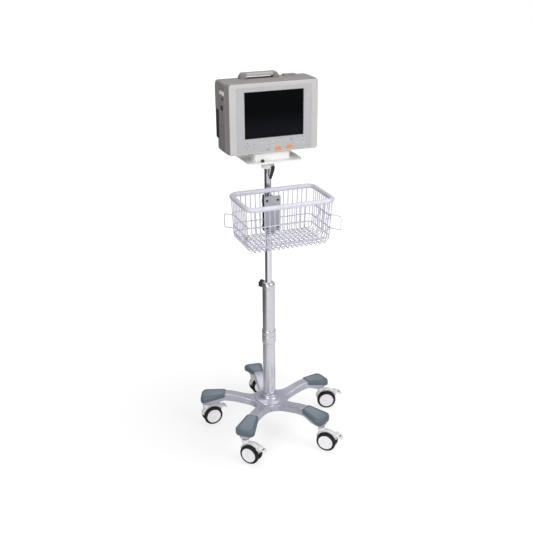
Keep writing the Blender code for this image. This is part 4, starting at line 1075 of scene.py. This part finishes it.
def build_front():
    bezel = loft([
        (0.0000, FRONT_W - 0.0050, 0.0024, MON_H - 0.0024, 0.0065),
        (0.0003, FRONT_W - 0.0030, 0.0014, MON_H - 0.0014, 0.0070),
        (0.0010, FRONT_W - 0.0012, 0.0005, MON_H - 0.0005, 0.0075),
        (0.0022, FRONT_W, 0.0, MON_H, 0.0080),
        (BEZEL_D - 0.0012, WIDE - 0.0006, 0.0, MON_H, 0.0090),
        (BEZEL_D, WIDE - 0.0022, 0.0008, MON_H - 0.0008, 0.0085),
    ])
    hollow = front_box(WIDE - 0.020, 0.004, MON_H - 0.004, 0.005, 0.05)
    recess = front_box(PANEL_W, *PANEL_Z, -0.01, 0.0015)
    window = front_box(SCREEN_W, SCREEN_Z, SCREEN_Z + SCREEN_H, -0.01, 0.05)
    bezel = cut(bezel, hollow, recess, window)
    for face in bezel.polygons:
        face.material_index = 1 if face.center.y > 0.0012 and abs(face.normal.y) < 0.7 else 0
    on_monitor("bezel_shell", bezel, (BEZEL, HOUSING), ("front_bezel",), 40)

    panel = front_box(PANEL_W - 0.0006, PANEL_Z[0] + 0.0003, PANEL_Z[1] - 0.0003, 0.0, 0.0012)
    holes = [front_box(0.020, z - 0.0055, z + 0.0055, -0.01, 0.03, x) for x, z in KEYS.values()]
    panel = softened(cut(panel, window, *holes), 0.0004, 2)
    on_monitor("keypad_foil", panel, FOIL, ("keypad_panel",))

    outer = rounded_rectangle(SCREEN_W + 0.0002, SCREEN_H + 0.0002, 0.0005, SCREEN_MID, 2)
    inner = rounded_rectangle(SCREEN_W - 0.0034, SCREEN_H - 0.0034, 0.001, SCREEN_MID, 3)
    gasket = cut(prism(outer, -0.0053, -0.0016), prism(inner, -0.01, 0.01))
    on_monitor("screen_gasket", moved(gasket, UPRIGHT), BLACK)
    lap = 0.003
    glass = front_box(
        SCREEN_W + 2 * lap, SCREEN_Z - lap, SCREEN_Z + SCREEN_H + lap, 0.0053, 0.0073, 0, 0.0003, 2
    )
    on_monitor("display_glass", glass, SCREEN, ("screen_glass",))


def build_keys():
    """The two raised keys and the marks printed on the panel."""
    for name, (x, z) in KEYS.items():
        cap = prism(rounded_rectangle(0.019, 0.010, 0.0022, steps=6), -0.0050, 0.0021, 0.0012, 4)
        key = merged(moved(cap, UPRIGHT), front_box(0.023, -0.007, 0.007, 0.0054, 0.0070, 0, 0.0004, 2))
        place = AT_MONITOR @ Matrix.Translation((x, 0, z))
        piece(f"soft_key_{name}", key, ORANGE, f"key_{name}", (f"alarm_key_{name}",), place, 35)
    on_monitor("marks_dark", merged(*[arrow_mark(*row) for row in ARROWS]), DARK)
    keys = [key_dome(width, height, 0.0016, x, z) for width, height, places in PALE_KEYS for x, z in places]
    keys += [key_dome(0.0080, 0.0070, 0.0016, 0.1195, 0.0800 + 0.0260 * i) for i in range(5)]
    on_monitor("membrane_keys", merged(*keys), PALE)
    blue = [key_dome(*row) for row in BLUE_KEYS]
    on_monitor("blue_keys", merged(*blue), BLUE)
    dots = [key_dome(0.0040, 0.0022, 0.0008, x, z) for x, z in DOTS]
    on_monitor("indicator_marks", merged(*dots), DARK)
    rings = []
    for place in KEYS.values():
        ring = prism(rounded_rectangle(0.0245, 0.0155, 0.0036, place, 6), 0.0, 0.0003, 0.0001, 1)
        gap = prism(rounded_rectangle(0.0200, 0.0110, 0.0015, place, 6), -0.01, 0.01)
        rings.append(moved(cut(ring, gap), UPRIGHT))
    on_monitor("key_surrounds", shifted(merged(*rings), 0, PRINT_Y, 0), ORANGE_FILM)


def build_housing():
    front = BEZEL_D + 0.0003
    housing = loft([
        (front, WIDE - 0.0026, 0.0008, MON_H - 0.0008, 0.0085),
        (front + 0.0012, WIDE, 0, MON_H, 0.009),
        (0.0950, WIDE, 0, MON_H, 0.009),
        (MON_D - 0.0080, WIDE - 0.0010, 0.0035, MON_H - 0.0010, 0.010),
        (MON_D - 0.0030, WIDE - 0.0055, 0.0065, MON_H - 0.0035, 0.010),
        (MON_D, WIDE - 0.0140, 0.0100, MON_H - 0.0070, 0.009),
    ])
    handle_x, handle_y = HANDLE_MID.xy
    notch = box((0.40, 0.052, 0.080), (0, MON_D, 0))
    hollow = front_box(WIDE - 0.012, 0.006, MON_H - 0.006, 0.0, 0.074)
    recess = front_box(0.098, MON_H - 0.009, MON_H + 0.02, handle_y - 0.017, handle_y + 0.023, handle_x)
    panel_hole = side_box((0.034, 0.048, 0.124), 0, PANEL_MID.y, PANEL_MID.z)
    vent_hole = side_box((0.020, 0.0135, 0.086), 0, VENT_MID.y, VENT_MID.z)
    ends = (HANDLE_LOW.x + 0.010, HANDLE_HIGH.x - 0.010)
    seats = [box((0.0206, 0.0306, 0.006), (x, handle_y, MON_H)) for x in ends]
    grooves = [box((0.40, 0.0010, 0.0016), (0, 0.034, MON_H))]
    grooves += [box((0.0016, 0.0010, 0.24), (x, 0.0285, 0.118)) for x in (SIDE, -SIDE)]
    housing = cut(housing, notch, hollow, recess, panel_hole, vent_hole, *seats, *grooves)
    fins = [box((0.0070, 0.0011, 0.0800), (0.030 + 0.0100 * i, MON_D, 0.135)) for i in range(12)]
    on_monitor("housing_shell", cut(housing, *fins), HOUSING, ("rear_housing",), 40)
    cover = front_box(0.045, MON_H - 0.004, MON_H + 0.0053, 0.092, 0.114, 0.094, 0.0020, 4)
    on_monitor("top_cover", cover, HOUSING, (), 40)


def side_box(size, inset, y, z, bevel=0.0, segments=3):
    """A box on the monitor's left side, its middle set in from the side's face."""
    return box(size, (SIDE + inset, y, z), bevel, segments)


def build_sockets():
    """Connector panel on the left side, with its sockets and their pins."""
    inset = 0.004
    panel = side_box((0.003, 0.0474, 0.1234), inset, PANEL_MID.y, PANEL_MID.z, 0.0006, 2)
    on_monitor("side_panel", panel, HOUSING, ("connector_panel",))
    pin = turned([(0, 0.0032), (0.0005, 0.0028), (0.0005, 0.0004), (0, 0.0004)], 0.0002, 12, 1)
    for label, y, z, radius, out, mat in SOCKETS:
        profile = [
            (0, 0.0010), (radius * 0.62, 0.0010), (radius * 0.66, out - 0.0008), (radius * 0.80, out),
            (radius * 0.94, out - 0.0004), (radius, out - 0.0014), (radius * 1.04, 0.0008),
            (radius * 1.15, 0.0004), (radius * 1.15, -0.0006), (0, -0.0006),
        ]
        spot = AT_MONITOR @ Matrix.Translation((SIDE + inset - 0.0015, y, z)) @ LEFTWARDS
        socket = turned(profile, 0.0003, 40, 2)
        piece(f"socket_{label}", socket, mat, "monitor", (), spot, 35)
        angles = [math.radians(angle) for angle in (90, 210, 330)]
        reach = radius * 0.3
        pins = [shifted(pin.copy(), reach * math.cos(angle), reach * math.sin(angle), 0) for angle in angles]
        piece(f"pins_{label}", merged(*pins), ZINC, "monitor", (), spot, 35)


def build_side():
    """Vent with its dark frame, and the ribbed cover above it."""
    grille = side_box((0.0058, 0.0129, 0.0854), 0.0062, VENT_MID.y, VENT_MID.z)
    heights = [VENT_MID.z + 0.0071 * (i - 5) for i in range(11)]
    slots = [side_box((0.006, 0.0094, 0.0040), 0.0033, VENT_MID.y, z) for z in heights]
    grille = softened(cut(grille, *slots), 0.0004, 1)
    on_monitor("side_vent", grille, BLACK, ("vent_grille",))
    frame_y = VENT_MID.y + 0.003
    rim = side_box((0.0016, 0.0290, 0.0960), -0.0003, frame_y, VENT_MID.z, 0.0005, 2)
    rim = cut(rim, side_box((0.010, 0.0100, 0.0860), 0, VENT_MID.y, VENT_MID.z))
    on_monitor("vent_frame", rim, BLACK)
    low, high = VENT_MID.z + 0.0500, MON_H - 0.0130
    pitch = 0.0090
    cover = side_box((0.0030, 0.0290, high - low), -0.0006, frame_y, (low + high) / 2, 0.0010, 3)
    heights = [low + pitch * i for i in range(1, int((high - low) / pitch))]
    ribs = [side_box((0.0020, 0.0300, 0.0014), -0.0024, frame_y, z) for z in heights]
    on_monitor("side_cover", cut(cover, *ribs), HOUSING)


def build_handle():
    """Two brackets joined by a bar, and the grip on them."""
    top = HANDLE_HIGH.z
    profile = [
        (0, MON_H - 0.0027), (0.0200, MON_H - 0.0027), (0.0200, top), (0.0120, top), (0.0085, top - 0.0010),
        (0.0005, MON_H + 0.0065), (0, MON_H + 0.0050),
    ]
    shapes = []
    for end, side in ((HANDLE_LOW.x, 1), (HANDLE_HIGH.x, -1)):
        bracket = slab([(end + side * x, z) for x, z in profile], 0.0150, 0.0013, 3)
        shapes.append(shifted(bracket, 0, HANDLE_MID.y, 0))
    span = HANDLE_HIGH.x - HANDLE_LOW.x
    place = (HANDLE_MID.x, HANDLE_MID.y + 0.004, top - 0.0035)
    shapes.append(box((span - 0.030, 0.0215, 0.0068), place, 0.0016, 3))
    on_monitor("handle_bracket", merged(*shapes), HOUSING, ("handle_frame",), 40)
    low, high = box_from(MON_AT, "handle_grip")
    grip = box(tuple(high - low), tuple((low + high) / 2), 0.0022, 4)
    on_monitor("handle_strip", grip, GRIP, ("handle_grip",), 40)


def build_rear_screws():
    screw = turned([
        (0, 0.0008), (0.0012, 0.0008), (0.0014, 0.0020), (0.0030, 0.0016), (0.0035, 0.0),
        (0.0035, -0.0010), (0, -0.0010),
    ], 0.0003, 24, 2)
    for label, x, z in four_corners(*REAR_SCREWS):
        spot = AT_MONITOR @ Matrix.Translation((x, MON_D - 0.0022, z)) @ BACKWARDS
        piece(f"rear_screw_{label}", screw, ZINC, "monitor", (), spot)


def dress_inside():
    """Finishes for the CAD nodes that stay as they are, inside the housing."""
    for node, mat, slot in (
        ("main_board", BOARD, "circuit_board"), ("power_supply", MODULE, "module_metal"),
        ("lcd_module", MODULE, "module_metal"), ("pressure_pump", BLACK, "black_plastic"),
    ):
        obj = frame["nodes"][node]
        obj.data.materials.clear()
        obj.data.materials.append(mat)


# ---------------------------------------------------------------- stage, light and camera
FLOOR_HALF = 9.0
WHITE_FLOOR_SHARE = 0.60       # how much of the whitened floor the camera sees
CAMERA_AT = Vector((-1.0109, -2.6653, 1.8495))   # from the mast's foot
CAMERA_TURN = (-20.77, -22.36, -0.385)           # azimuth, pitch and roll in degrees


def build_stage():
    """A pale floor, whitened for the camera's own rays; its far left has painted shade, a grey that the metal
    picks up as a dark reflection.
    """
    work = bmesh.new()
    corners = [(x * FLOOR_HALF, y * FLOOR_HALF, 0) for x, y in ((-1, -1), (1, -1), (1, 1), (-1, 1))]
    work.faces.new([work.verts.new(corner) for corner in corners])
    floor = placed("floor", mesh_from(work))
    mat = surface(
        "floor_white", (0.90, 0.90, 0.90), 0.45, 0.0, (0.8, 0.004), (2.0, 0.03), (60, 0.01), specular=0.3,
    )
    nodes = Nodes(mat)
    shader = mat.node_tree.nodes["Principled BSDF"]
    base = shader.inputs["Base Color"]
    place = nodes.add("ShaderNodeNewGeometry").outputs["Position"]
    # painted shade: the floor's base colour turns grey towards the far left, for the metal to reflect as its
    # dark side
    aside = nodes.measured("DOT_PRODUCT", place, (-0.80, 0.60, 0.0))
    painted_floor_shade = nodes.mixed(nodes.ranged(aside, -0.2, 1.1), base.links[0].from_socket, (0.10, 0.10, 0.11))
    nodes.link(painted_floor_shade, base)
    white = nodes.add("ShaderNodeEmission")
    glow = nodes.ranged(nodes.measured("LENGTH", place), 0.35, 1.20, 1.22, 1.80)
    nodes.link(glow, white.inputs["Strength"])
    nodes.show_camera(shader, white, WHITE_FLOOR_SHARE, "Material Output")
    floor.data.materials.append(mat)


def area_light(name, place, target, size, power):
    data = bpy.data.lights.new(name, "AREA")
    data.shape = "RECTANGLE"
    data.size, data.size_y = size
    data.energy = power
    obj = placed(name, data)
    obj.location = place
    direction = Vector(target) - Vector(place)
    obj.rotation_euler = direction.to_track_quat("-Z", "Y").to_euler()


def build_light():
    """A pale sky with a dark left side, white to the camera's own rays, and three soft lights."""
    world = bpy.data.worlds.new("studio")
    bpy.context.scene.world = world
    nodes = Nodes(world)
    ramp = nodes.add("ShaderNodeValToRGB")
    for element, position, colour in zip(
        ramp.color_ramp.elements, (0.45, 0.80), ((0.92, 0.93, 0.97, 1), (0.03, 0.03, 0.04, 1))
    ):
        element.position = position
        element.color = colour
    left = nodes.measured("DOT_PRODUCT", nodes.coords.outputs["Generated"], (-0.93, 0.37, 0.0))
    nodes.link(left, ramp.inputs["Fac"])
    sky = world.node_tree.nodes["Background"]
    sky.inputs["Strength"].default_value = 0.50
    nodes.link(ramp.outputs["Color"], sky.inputs["Color"])
    white = nodes.add("ShaderNodeBackground", Color=(1, 1, 1, 1), Strength=1.0)
    nodes.show_camera(sky, white, 1.0, "World Output")
    area_light("key", (2.0, -2.6, 3.0), (0, 0, 0.7), (2.0, 2.0), 52)
    area_light("fill", (-2.6, -2.4, 1.6), (0, 0, 0.7), (1.4, 2.4), 60)
    area_light("top", (0.2, 0.9, 3.6), (0, 0, 0.2), (3.2, 3.2), 42)


def build_camera():
    data = bpy.data.cameras.new("camera")
    data.lens = 56.80
    data.sensor_width = 36.0
    data.shift_x = -0.0037
    data.clip_end = 100.0
    camera = placed("camera", data)
    azimuth, pitch, roll = (math.radians(angle) for angle in CAMERA_TURN)
    level = math.cos(pitch)
    forward = Vector((-math.sin(azimuth) * level, math.cos(azimuth) * level, math.sin(pitch)))
    right = Vector((math.cos(azimuth), math.sin(azimuth), 0))
    up = right.cross(forward)
    turned_right = right * math.cos(roll) + up * math.sin(roll)
    turned_up = up * math.cos(roll) - right * math.sin(roll)
    basis = Matrix((turned_right, turned_up, -forward)).transposed().to_4x4()
    camera.matrix_world = Matrix.Translation(AXIS + CAMERA_AT) @ basis
    bpy.context.scene.camera = camera


bpy.context.scene.view_settings.view_transform = "Standard"
for build in (
    build_base, build_castors, build_column, build_basket, build_head, build_front, build_keys,
    build_housing, build_sockets, build_side, build_handle, build_rear_screws, dress_inside,
    build_stage, build_light, build_camera,
):
    build()
